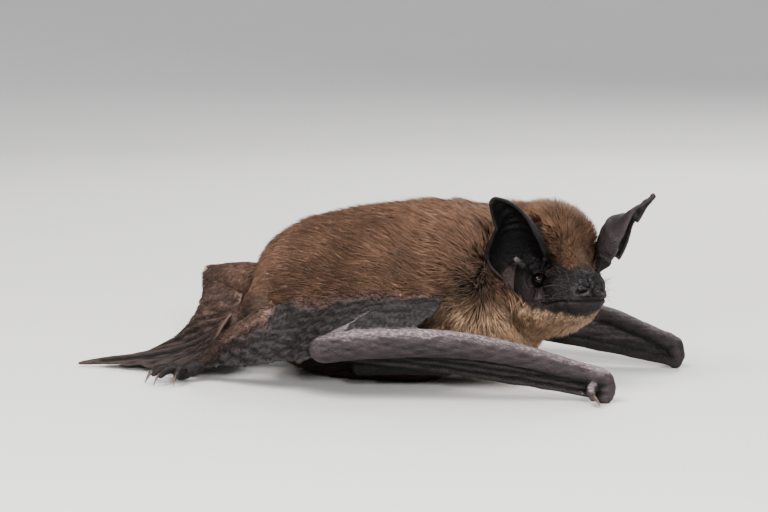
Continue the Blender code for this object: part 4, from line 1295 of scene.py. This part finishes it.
def coat_tips(roots, normals, lie, zones, fringe, pelt, ears, luck):
    """The tip, half width and length of the tuft at each root, and the depth of coat over it.

    Fringe is 1 well inside the coat and falls towards bare skin, where the tufts are shorter."""
    number = len(roots)
    head, ear = on(zones, "head"), on(zones, "ear")
    _, _, depth = pelt.nearest(roots)
    depth = np.where(ear, 0.0, np.clip(depth, 0.0, DEEPEST_COAT))
    depth = depth * np.where(head, 0.25 + 0.75 * step_up(0.35, 0.9, fringe), 1.0)
    clear = clearance(ears, roots)
    length = np.where(head, HEAD_HAIR[0] + HEAD_HAIR[1] * depth, BODY_HAIR[0] + BODY_HAIR[1] * depth)
    length = np.where(ear, EAR_HAIR, length)
    length = length * np.where(head, 0.5 + 0.5 * step_up(0.3, 2.0, clear), 1.0)
    length = length * (0.5 + 0.5 * step_up(0.1, 0.8, fringe)) * luck.uniform(0.72, 1.12, number)
    short = 0.35 * np.exp(-((parting_distance(roots) / 3.0) ** 2))
    length = length * np.where(head, 1.0, 1 - short)
    across = np.cross(lie, normals)
    lie = unit(lie + across * luck.normal(0, 0.2, number)[:, None])
    ahead_of = roots + lie * length[:, None] + normals * depth[:, None] * 0.8
    places, ways, _ = pelt.nearest(ahead_of)
    stand = luck.uniform(np.where(head, 0.66, 0.5), 1.0, number)
    crown = step_up(24.0, 29.0, roots[:, 2]) * step_up(0.5, 0.95, fringe)
    nape = np.exp(-(((roots[:, 0] - 28.4) / 3.4) ** 2)) * step_up(25.0, 29.5, roots[:, 2])
    places = places + ways * (0.5 * head * crown + 2.0 * nape)[:, None]
    stand = np.where(luck.random(number) < 0.03, 1.05, stand)
    long_tips = places - ways * ((1 - stand) * np.maximum(depth, 0.3))[:, None]
    flat_tips = roots + lie * length[:, None] * 0.9 + normals * (0.36 * length * stand)[:, None]
    width = np.where(on(zones, "trunk"), TRUNK_HAIR, FINE_HAIR) * luck.uniform(0.75, 1.25, number)
    return mixed(flat_tips, long_tips, step_up(0.1, 0.8, depth)), width, depth, length


def clumped(roots, tips, length, strength):
    """Tips drawn a little towards the tip of the nearest leading tuft, so that the coat falls in locks."""
    step = max(1, int(len(roots) * LOCK_SPACING**2 / 4200))
    leader = nearest(tree_of(roots[::step]), roots) * step
    goal = roots + (tips[leader] - roots[leader]) * (length / length[leader])[:, None]
    goal = goal + (roots[leader] - roots) * 0.6
    near = np.linalg.norm(roots[leader] - roots, axis=1) < 2.5 * LOCK_SPACING
    return mixed(tips, goal, strength * near)


def coat_density(points, normals, zones, cover):
    """How close the tufts stand at each point of the skin."""
    density = cover * np.where(on(zones, "head"), 2.3, 1.0) * np.where(normals[:, 2] < -0.6, 0.4, 1.0)
    density[cover < 0.06] = 0
    ahead, side, height = in_head(points)
    buried = on(zones, "trunk") & (ahead > -3.0) & (np.abs(side) < 6.5) & (np.abs(height - 23.5) < 6.5)
    density[buried] = 0
    return density


def misplaced(roots, tips, zones, ears):
    """Which tufts would run through an ear or out over the bare face."""
    gap = np.minimum(clearance(ears, tips), clearance(ears, roots + (tips - roots) * 0.6))
    through = gap < np.where(in_head(roots)[0] > 0.3, *EAR_GAP)
    _, side, _ = in_head(tips)
    over_face = (face_bareness(tips) * (np.abs(side) < 10.3) > 0.6) & (side < -2.0)
    return on(zones, "trunk", "head") & (through | over_face)


def coat_zone(roots, zones):
    """The name of the coat's piece that each tuft belongs to."""
    x, y, z = roots.T
    names = np.full(len(roots), "limbs", dtype="<U14")
    trunk = on(zones, "trunk")
    names[trunk] = "belly"
    top = trunk & (z > 22.0)
    for start, name in ((-40, "rump"), (-13, "loin"), (-1, "back"), (10, "shoulders")):
        names[top & (x >= start)] = name
    middle = trunk & (z <= 22.0) & (z > 7.0)
    names[middle & (y < 0)] = "flank_right"
    names[middle & (y >= 0)] = "flank_left"
    names[middle & (x > 14)] = "chest"
    head = on(zones, "head")
    names[head & (z > 22.5)] = "crown"
    names[head & (z <= 22.5)] = "throat"
    return names


def tuft_piece(name, roots, normals, tips, width, depth, colour, luck, finish):
    """One piece of the coat: thin three-sided locks that rise from the skin and bend along its lie."""
    number = len(roots)
    levels = np.array([0.0, 0.5, 1.0])
    bulge = (1 - (1 - levels) ** 1.8 - levels)[None, :, None] * np.maximum(depth, 0.25)[:, None, None]
    span = tips - roots
    lines = roots[:, None] + span[:, None] * levels[None, :, None] + normals[:, None] * bulge
    lines[:, 0] -= normals * 0.1
    length = np.linalg.norm(span, axis=1)
    across = unit(np.cross(span, normals))
    upright = unit(np.cross(across, span))
    wave = luck.normal(0, 0.03, (number, 1)) * length[:, None]
    lines[:, 1] += across * wave
    rings = []
    for turn in (0.5, 2.6, 4.7):
        corner = (across * math.cos(turn) + upright * math.sin(turn) * 0.8) * width[:, None]
        rings.append(corner[:, None] * np.array([0.9, 1.0])[None, :, None])
    rings = lines[:, :2, None] + np.stack(rings, axis=2)
    points = np.concatenate([rings.reshape(number, 6, 3), lines[:, 2:]], axis=1)
    points[..., 2] = np.maximum(points[..., 2], HAIR_FLOOR)
    quads = [(0, 1, 4, 3), (1, 2, 5, 4), (2, 0, 3, 5)]
    threes = [(3, 4, 6), (4, 5, 6), (5, 3, 6), (2, 1, 0)]
    return coat_object(name, points, quads, threes, colour, luck, finish, levels)


def coat_object(name, points, quads, threes, colour, luck, finish, levels):
    """A coat piece's object from its tufts' points, with its colours and its map for baking."""
    number, size = points.shape[:2]
    start = (np.arange(number) * size)[:, None]
    corners = np.concatenate([np.array(quads).ravel(), np.array(threes).ravel()])
    loops = (start + corners[None]).ravel()
    counts = np.tile([4] * len(quads) + [3] * len(threes), number)
    mesh = bpy.data.meshes.new(name)
    mesh.vertices.add(number * size)
    mesh.vertices.foreach_set("co", (points * MM).ravel())
    mesh.loops.add(len(loops))
    mesh.loops.foreach_set("vertex_index", loops)
    mesh.polygons.add(len(counts))
    mesh.polygons.foreach_set("loop_start", np.concatenate([[0], np.cumsum(counts)[:-1]]))
    mesh.update(calc_edges=True)
    mesh.shade_smooth()
    tip = np.tile(np.concatenate([np.repeat(levels[:2], 3), levels[2:]]), number)
    tone = np.repeat(np.clip(luck.normal(0, 1, number), -2.2, 2.6), size)
    give(mesh, "tip", tip)
    give(mesh, "tone", tone)
    give(mesh, "hair_colour", np.repeat(colour, size, axis=0))
    layer = mesh.uv_layers.new(name="OFBake")
    layer.data.foreach_set("uv", patch_map(points).reshape(-1, 2)[loops].ravel().astype(np.float32))
    mesh.materials.append(finish)
    made = bpy.data.objects.new(name, mesh)
    bpy.context.scene.collection.objects.link(made)
    return made


def patch_map(points):
    """Each tuft as a small patch, at its root's place on the skin unrolled round the piece's long axis."""
    roots = points[:, :3].mean(1)
    low, high = roots.min(0), roots.max(0)
    middle = (low + high) / 2
    turn = np.arctan2(roots[:, 1] - middle[1], roots[:, 2] - middle[2])
    around = 0.02 + 0.96 * (turn + math.pi) / (2 * math.pi)
    along_body = 0.02 + 0.96 * (roots[:, 0] - low[0]) / max(high[0] - low[0], 1e-6)
    side = np.array([-1, 0, 1, -1, 0, 1, 0]) * BAKE_PATCH / 2
    rise = np.array([-1, -1, -1, 0, 0, 0, 1]) * BAKE_PATCH / 2
    return np.stack([around[:, None] + side[None], along_body[:, None] + rise[None]], axis=-1)


# Finishes


def skin_finish():
    """Wrinkled bare skin, matt with a dull sheen."""
    made, tree, shader = new_material("bare_skin")
    colour = attribute(tree, "skin_colour", "Color")
    fine = noise(tree, placed(tree, (1, 2.2, 2.2)), 1400.0, 4.0)
    broad = noise(tree, placed(tree), 260.0, 3.0)
    pale = attribute(tree, "pale")
    tone = 0.62 + 0.5 * fine + 0.28 * broad
    # pale dust with a painted highlight, mostly on the upper side of the near forearm
    dust_and_highlight = pale * (0.4 + 0.9 * fine.rise(0.42, 0.66))
    feed(tree, shader, "Base Color", dust_and_highlight.blend(colour.tinted(tone), (0.34, 0.28, 0.285)))
    dry = 0.5 + 0.25 * fine - 0.12 * broad
    feed(tree, shader, "Roughness", dry * (1.0 - 0.5 * attribute(tree, "wet")))
    cell_values = {"Vector": placed(tree, (1, 1.7, 1.7)), "Scale": 1700.0}
    cells = shade(tree, "ShaderNodeTexVoronoi", {"feature": "DISTANCE_TO_EDGE"}, cell_values)
    grain = cells.rise(0.0, 0.25) * 0.5 + fine * 0.9 + broad * 1.1
    bump = shade(tree, "ShaderNodeBump", {}, {"Strength": 0.7, "Distance": 0.0002, "Height": grain})
    feed(tree, shader, "Normal", bump)
    shader.inputs["Specular IOR Level"].default_value = 0.28
    return made


def coat_finish():
    """Hair that is dark at the root and paler towards the tip."""
    made, tree, shader = new_material("hair")
    colour = attribute(tree, "hair_colour", "Color")
    tip = attribute(tree, "tip")
    tone = attribute(tree, "tone")
    depth = 0.3 + 0.8 * tip.rise(0.0, 0.85)
    feed(tree, shader, "Base Color", colour.tinted(depth * (1.0 + 0.3 * tone)))
    feed(tree, shader, "Roughness", 0.66 - 0.12 * tip)
    shader.inputs["Specular IOR Level"].default_value = 0.35
    return made


def eye_finish():
    """A wet dark brown eye with a black pupil."""
    made, tree, shader = new_material("eye_gloss")
    facing = attribute(tree, "facing")
    streak = noise(tree, placed(tree), 2600.0, 2.0)
    iris = streak.blend((0.003, 0.0017, 0.0012), (0.007, 0.0035, 0.0025))
    ring = facing.rise(0.74, 0.80)
    feed(tree, shader, "Base Color", ring.blend(iris, (0.002, 0.0015, 0.0015)))
    shader.inputs["Roughness"].default_value = 0.05
    shader.inputs["Specular IOR Level"].default_value = 0.22
    return made


def claw_finish():
    """Dark horn, paler and clearer towards the point."""
    made, tree, shader = new_material("horn")
    tip = attribute(tree, "tip")
    grain = noise(tree, placed(tree, (1, 3, 3)), 900.0, 2.0)
    horn = tip.rise(0.2, 1.0).blend((0.02, 0.014, 0.012), (0.16, 0.11, 0.08))
    feed(tree, shader, "Base Color", horn.tinted(0.8 + 0.4 * grain))
    shader.inputs["Roughness"].default_value = 0.32
    return made


def whisker_finish():
    """Dark brown hair that varies a little from whisker to whisker."""
    made, tree, shader = new_material("whisker")
    cloud = noise(tree, placed(tree), 800.0, 1.0)
    feed(tree, shader, "Base Color", cloud.blend((0.03, 0.02, 0.015), (0.10, 0.07, 0.05)))
    shader.inputs["Roughness"].default_value = 0.5
    return made


def floor_finish():
    """Pale matt plaster with a faint cloud in it."""
    made, tree, shader = new_material("pale_floor")
    cloud = noise(tree, placed(tree), 3.0, 2.0)
    feed(tree, shader, "Base Color", cloud.blend((0.70, 0.69, 0.68), (0.74, 0.73, 0.72)))
    shader.inputs["Roughness"].default_value = 0.85
    return made


# Whiskers


def whisker_nodes():
    """A tree that sets a thin cone on each point, along the point's own direction."""
    tree = bpy.data.node_groups.new("whiskers", "GeometryNodeTree")
    kinds = {"Geometry": "Geometry", "Length": "Float", "Radius": "Float"}
    kinds |= {"Seed": "Int", "Finish": "Material"}
    starts = {"Length": 0.0036, "Radius": 0.00004}
    for name, kind in kinds.items():
        socket = tree.interface.new_socket(name, in_out="INPUT", socket_type=f"NodeSocket{kind}")
        if name in starts:
            socket.default_value = starts[name]
    tree.interface.new_socket("Geometry", in_out="OUTPUT", socket_type="NodeSocketGeometry")
    enter, leave = tree.nodes.new("NodeGroupInput"), tree.nodes.new("NodeGroupOutput")
    entered = {name: Field(tree, enter.outputs[name]) for name in kinds}
    values = {"Vertices": 5, "Side Segments": 3, "Radius Top": 0.0}
    values |= {"Radius Bottom": entered["Radius"], "Depth": entered["Length"]}
    cone = shade(tree, "GeometryNodeMeshCone", {"fill_type": "TRIANGLE_FAN"}, values, "Mesh")
    settings = {"data_type": "FLOAT_VECTOR"}
    way = shade(tree, "GeometryNodeInputNamedAttribute", settings, {"Name": "way"}, "Attribute")
    turn = shade(tree, "FunctionNodeAlignEulerToVector", {"axis": "Z"}, {"Vector": way}, "Rotation")
    values = {2: 0.3, 3: 1.0, "Seed": entered["Seed"]}
    share = shade(tree, "FunctionNodeRandomValue", {"data_type": "FLOAT"}, values, 1)
    values = {"Points": entered["Geometry"], "Instance": cone, "Rotation": turn, "Scale": share}
    many = shade(tree, "GeometryNodeInstanceOnPoints", {}, values, "Instances")
    real = shade(tree, "GeometryNodeRealizeInstances", {}, {"Geometry": many}, "Geometry")
    values = {"Geometry": real, "Material": entered["Finish"]}
    painted = shade(tree, "GeometryNodeSetMaterial", {}, values, "Geometry")
    tree.links.new(painted.socket, leave.inputs["Geometry"])
    return tree


# User's settings


def span(name, text, metres):
    """A length that the user may change."""
    return bpy.props.FloatProperty(name=name, description=text, default=metres, unit="LENGTH")


def angle(name, text, degrees):
    """An angle that the user may change."""
    start = math.radians(degrees)
    return bpy.props.FloatProperty(name=name, description=text, default=start, subtype="ANGLE")


class BatSizes(bpy.types.PropertyGroup):
    """Sizes of the dressed bat that a user may change."""

    tufts: bpy.props.IntProperty(
        name="Tufts", description="Number of locks of hair in the whole coat", default=138000, min=1000
    )
    camera_distance: span("Camera distance", "From the camera to the middle of the bat", 0.41)
    camera_azimuth: angle("Camera azimuth", "Turn of the camera round the bat", 15.0)
    camera_elevation: angle("Camera elevation", "Camera's angle above the floor", 6.5)
    aim_height: span("Aim height", "Height that the camera looks at", 0.0235)
    whisker_length: span("Whisker length", "Length of the longest whiskers", 0.0036)
    whisker_radius: span("Whisker radius", "Radius of a whisker at its root", 0.00004)


def tint(name, text, colour):
    """A colour that the user may change."""
    return bpy.props.FloatVectorProperty(
        name=name, description=text, subtype="COLOR", default=colour, min=0, max=1
    )


class BatColours(bpy.types.PropertyGroup):
    """Colours of the dressed bat that a user may change."""

    back: tint("Back", "Hair of the back", (0.172, 0.1, 0.066))
    rump: tint("Rump", "Hair of the rump", (0.31, 0.185, 0.13))
    # the flank colour is painted shade on the hair that faces down
    flank: tint("Flank", "Hair of the flanks", (0.05, 0.029, 0.019))
    throat: tint("Throat", "Hair of the throat and chest", (0.47, 0.315, 0.21))
    crown: tint("Crown", "Hair on top of the head", (0.17, 0.095, 0.058))
    forehead: tint("Forehead", "Hair of the forehead", (0.088, 0.048, 0.028))
    leg: tint("Leg", "Short hair on the legs and membranes", (0.135, 0.086, 0.068))
    face: tint("Face", "Bare skin of the face", (0.005, 0.0037, 0.0038))
    muzzle: tint("Muzzle", "Bare skin of the muzzle", (0.0045, 0.0036, 0.0038))
    cheek: tint("Cheek", "Paler bare skin below the eye", (0.017, 0.0115, 0.0122))
    ear: tint("Ear", "Skin of the ears", (0.004, 0.003, 0.003))
    tragus: tint("Tragus", "Tip of the small flap inside the ear", (0.045, 0.038, 0.039))
    arm: tint("Arm", "Skin of the arms", (0.018, 0.0133, 0.014))
    finger: tint("Finger", "Skin along the folded fingers", (0.005, 0.0038, 0.0037))
    wing: tint("Wing", "Skin of the wings", (0.0095, 0.0078, 0.0077))
    skirt: tint("Tail skin", "Skin of the tail and round it", (0.022, 0.0155, 0.0135))
    foot: tint("Foot", "Skin of the feet", (0.007, 0.0056, 0.0051))
    shin: tint("Shin", "Skin of the hind legs", (0.02, 0.0132, 0.0105))


def skin_data():
    """The skin's mesh, which the coat and the whiskers grow on."""
    if "skin" not in bpy.data.objects:
        raise RuntimeError("the skin has to be made before the coat and the whiskers")
    return bpy.data.objects["skin"].data


def colours_of(scene):
    """Each colour of the user's settings by its name."""
    chosen = scene.bat_colours
    return {name: tuple(getattr(chosen, name)) for name in BatColours.__annotations__}


# Operators


class BAT_OT_stage(bpy.types.Operator):
    """Adds the pale floor, the lights and the camera"""

    bl_idname = "bat.stage"
    bl_label = "Stage"

    def execute(self, context):
        scene, sizes = context.scene, context.scene.bat_sizes
        a, e = sizes.camera_azimuth, sizes.camera_elevation
        back = Vector((math.sin(a) * math.cos(e), -math.cos(a) * math.cos(e), math.sin(e)))
        lens = bpy.data.cameras.new("camera")
        lens.lens, lens.sensor_width, lens.clip_start = 100.0, 36.0, 0.01
        camera = bpy.data.objects.new("camera", lens)
        camera.location = Vector((0, 0, sizes.aim_height)) + back * sizes.camera_distance
        camera.rotation_euler = back.to_track_quat("Z", "Y").to_euler()
        scene.collection.objects.link(camera)
        scene.camera = camera
        self.floor()
        for name, (place, size, power, colour) in LIGHTS.items():
            light = bpy.data.lights.new(name, "AREA")
            light.size, light.energy, light.color = size, power, colour
            lamp = bpy.data.objects.new(name, light)
            lamp.location = place
            lamp.rotation_euler = (Vector(place) - LIT_PLACE).to_track_quat("Z", "Y").to_euler()
            scene.collection.objects.link(lamp)
        world = bpy.data.worlds.new("studio")
        world.use_nodes = True
        world.node_tree.nodes["Background"].inputs["Color"].default_value = (0.93, 0.95, 1.0, 1.0)
        world.node_tree.nodes["Background"].inputs["Strength"].default_value = 0.55
        scene.world = world
        scene.view_settings.view_transform = "AgX"
        scene.view_settings.look = "AgX - Medium High Contrast"
        return {"FINISHED"}

    def floor(self):
        """A level floor that curves up into a wall all round, far behind the bat."""
        profile = [(radius / MM, height / MM) for radius, height in FLOOR_PROFILE]
        floor = mesh_object("floor", *turned(profile, 96, (1, 0, 0), (0, 1, 0), (0, 0, 1)))
        floor.data.materials.append(floor_finish())


class BAT_OT_skin(bpy.types.Operator):
    """Makes the one skin that takes the place of every solid of flesh"""

    bl_idname = "bat.skin"
    bl_label = "Skin"

    def execute(self, context):
        colours = colours_of(context.scene)
        (points, faces, zones), (head_points, head_faces, head_zones) = body_skin(), head_skin()
        split = len(points)
        points, zones = np.concatenate([points, head_points]), np.concatenate([zones, head_zones])
        faces = np.concatenate([faces, head_faces + split])
        depth = Pelt().nearest(points)[2]
        normals = normals_of(points, faces)
        cover = relaxed(fur_cover(points, normals, zones, depth), faces, 2, 0.5)
        body = np.arange(len(points)) < split
        cover = np.where(body, relaxed(cover, faces, 12, 0.6), cover)
        under = fur_colour(points, normals, zones, depth, colours)
        colour = relaxed(skin_colour(points, zones, cover, under, colours), faces, 3, 0.5)
        ahead, _, height = in_head(points)
        skin = mesh_object("skin", points, faces)
        given_to_points = {
            "wet": on(zones, "head") * step_up(11.0, 11.8, ahead) * step_up(18.0, 18.8, height),
            # the skin's colour times painted shade in its creases and painted highlights on its ridges
            "skin_colour": colour * painted_crease_shade(points, normals, zones, faces)[:, None],
            "pale": dust_and_top_highlight(points, normals, zones, faces),
            "cover": cover,
            "fringe": relaxed(cover, faces, 36, 0.7),
            "zone": zones,
        }
        for name, values in given_to_points.items():
            give(skin.data, name, values)
        skin.data.materials.append(skin_finish())
        flesh = [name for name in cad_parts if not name.startswith("eye_")]
        finished(skin, "membrane", *flesh)
        return {"FINISHED"}


class BAT_OT_eyes(bpy.types.Operator):
    """Makes the two eyeballs"""

    bl_idname = "bat.eyes"
    bl_label = "Eyes"

    def execute(self, context):
        finish = eye_finish()
        sides = 40
        angles = np.linspace(0, math.pi, 23)[:-1]
        radii = EYE_RADIUS * (1 + 0.06 * np.exp(-((angles / 0.6) ** 2)))  # the clear front bulges a little
        profile = list(zip(np.sin(angles) * radii, np.cos(angles) * radii))
        for side, sign in SIDES:
            look = eye_look(sign)
            across = unit(np.cross([0, 0, 1.0], look))
            points, faces = turned(profile, sides, across, np.cross(look, across), look)
            last = len(points) - sides
            faces += [(last + (k + 1) % sides, last + k, len(points)) for k in range(sides)]
            points = np.concatenate([points, [-look * EYE_RADIUS]])
            ball = mesh_object(f"eyeball_{side}", points + eye_centre(sign), faces)
            give(ball.data, "facing", unit(points) @ look)
            ball.data.materials.append(finish)
            finished(ball, "eye", f"eye_{side}")
        return {"FINISHED"}


class BAT_OT_claws(bpy.types.Operator):
    """Makes the claws of the toes and thumbs"""

    bl_idname = "bat.claws"
    bl_label = "Claws"

    def execute(self, context):
        mould = Mould()
        tips = []
        for side, _ in SIDES:
            lines = [(path, TOE_CLAW - 0.06, 0.34) for path in toe_paths(side)]
            lines.append((THUMB[side], THUMB_CLAW - 0.04, 0.48))
            for path, start, radius in lines:
                shares = np.linspace(start, 1.0, 7)
                arch = 0.55 * np.sin(math.pi * (shares - start) / (1 - start))
                claw = eased(path, shares) + np.stack([0 * arch, 0 * arch, arch], axis=1)
                claw[:, 2] = np.maximum(claw[:, 2], 0.12)
                radii = radius * (1 - np.linspace(0, 1, 7) ** 1.5) + 0.05
                mould.tube(claw, radii * 0.75, "foot", 14, 12, radii)
                tips.append(np.repeat(np.linspace(0, 1, 22), 12))
                tips.append([0.0, 1.0])
        points = np.concatenate(mould.points)
        points[:, 2] = np.maximum(points[:, 2], CLAW_FLOOR)
        claws = mesh_object("claws", points, mould.faces)
        give(claws.data, "tip", np.concatenate(tips))
        claws.data.materials.append(claw_finish())
        finished(claws, "membrane")
        return {"FINISHED"}


class BAT_OT_coat(bpy.types.Operator):
    """Grows the coat over the skin in pieces"""

    bl_idname = "bat.coat"
    bl_label = "Coat"

    def execute(self, context):
        skin = skin_data()
        points, faces = points_of(skin), faces_of(skin)
        cover, zones = given(skin, "cover"), np.round(given(skin, "zone")).astype(int)
        normals = normals_of(points, faces)
        density = coat_density(points, normals, zones, cover)
        ears = tree_of(points[on(zones, "ear")])
        number = context.scene.bat_sizes.tufts
        roots, up, source, luck = sample_roots(points, faces, normals, density, number, COAT_SEED)
        zones, fringe = zones[source], given(skin, "fringe")[source]
        lie = lie_of_coat(roots, up, zones)
        tips, width, depth, length = coat_tips(roots, up, lie, zones, fringe, Pelt(), ears, luck)
        tips = clumped(roots, tips, length, luck.uniform(0.05, 0.4, number))
        colour = fur_colour(roots, up, zones, depth, colours_of(context.scene))
        names = coat_zone(roots, zones)
        names[misplaced(roots, tips, zones, ears)] = "left out"
        finish = coat_finish()
        for name in sorted(set(names) - {"left out"}):
            chosen = np.nonzero(names == name)[0]
            parts = np.array_split(chosen, math.ceil(len(chosen) / COAT_PIECE_LIMIT))
            for part, few in enumerate(parts, 1):
                few = few[np.argsort(roots[few, 0])]
                tufts = (values[few] for values in (roots, up, tips, width, depth, colour))
                finished(tuft_piece(f"coat_{name}_{part}", *tufts, luck, finish), "fur")
        return {"FINISHED"}


class BAT_OT_whiskers(bpy.types.Operator):
    """Sets fine whiskers on the muzzle and chin"""

    bl_idname = "bat.whiskers"
    bl_label = "Whiskers"

    def execute(self, context):
        sizes = context.scene.bat_sizes
        luck = np.random.default_rng(WHISKER_SEED)
        skin = skin_data()
        points, normals = points_of(skin), rows_of(skin.vertices, "normal")
        ahead, side, height = in_head(points)
        muzzle = (ahead > 6.0) & (ahead < 12.4) & (height > 14.6) & (height < 23.0) & (np.abs(side) < 7)
        muzzle &= (height - mouth_line(ahead) > 0.5) | (height < 16.0)
        chosen = luck.choice(np.nonzero(muzzle)[0], WHISKERS, replace=False)
        lean = -HEAD_FORWARD * 0.55 + np.array([0, 0, -0.25]) + luck.normal(0, 0.22, (WHISKERS, 3))
        cloud = mesh_object("whiskers", points[chosen] - normals[chosen] * 0.05, [], smooth=False)
        give(cloud.data, "way", unit(normals[chosen] + lean))
        change = cloud.modifiers.new("whiskers", "NODES")
        change.node_group = whisker_nodes()
        sockets = {item.name: item.identifier for item in change.node_group.interface.items_tree}
        change[sockets["Length"]] = sizes.whisker_length
        change[sockets["Radius"]] = sizes.whisker_radius
        change[sockets["Seed"]] = 5
        change[sockets["Finish"]] = whisker_finish()
        mesh = bpy.data.meshes.new_from_object(cloud.evaluated_get(context.evaluated_depsgraph_get()))
        if not mesh.polygons:
            raise RuntimeError("no whiskers came out of their node tree")
        cloud.modifiers.clear()
        cloud.data = mesh
        finished(cloud, "fur")
        return {"FINISHED"}


class BAT_PT_panel(bpy.types.Panel):
    """The bat's settings and the operators that build it"""

    bl_idname = "BAT_PT_panel"
    bl_label = "Resting bat"
    bl_space_type = "VIEW_3D"
    bl_region_type = "UI"
    bl_category = "Bat"

    def draw(self, context):
        for settings in (context.scene.bat_sizes, context.scene.bat_colours):
            for name in settings.__annotations__:
                self.layout.prop(settings, name)
        for operator in OPERATORS:
            self.layout.operator(operator.bl_idname)


OPERATORS = (BAT_OT_stage, BAT_OT_skin, BAT_OT_eyes, BAT_OT_claws, BAT_OT_coat, BAT_OT_whiskers)
CLASSES = (BatSizes, BatColours, *OPERATORS, BAT_PT_panel)


def register():
    for made in CLASSES:
        bpy.utils.register_class(made)
    bpy.types.Scene.bat_sizes = bpy.props.PointerProperty(type=BatSizes)
    bpy.types.Scene.bat_colours = bpy.props.PointerProperty(type=BatColours)


def unregister():
    del bpy.types.Scene.bat_colours
    del bpy.types.Scene.bat_sizes
    for made in reversed(CLASSES):
        bpy.utils.unregister_class(made)


def main():
    register()
    bpy.ops.bat.stage()
    bpy.ops.bat.skin()
    bpy.ops.bat.eyes()
    bpy.ops.bat.claws()
    bpy.ops.bat.coat()
    bpy.ops.bat.whiskers()


if __name__ == "__main__":
    main()
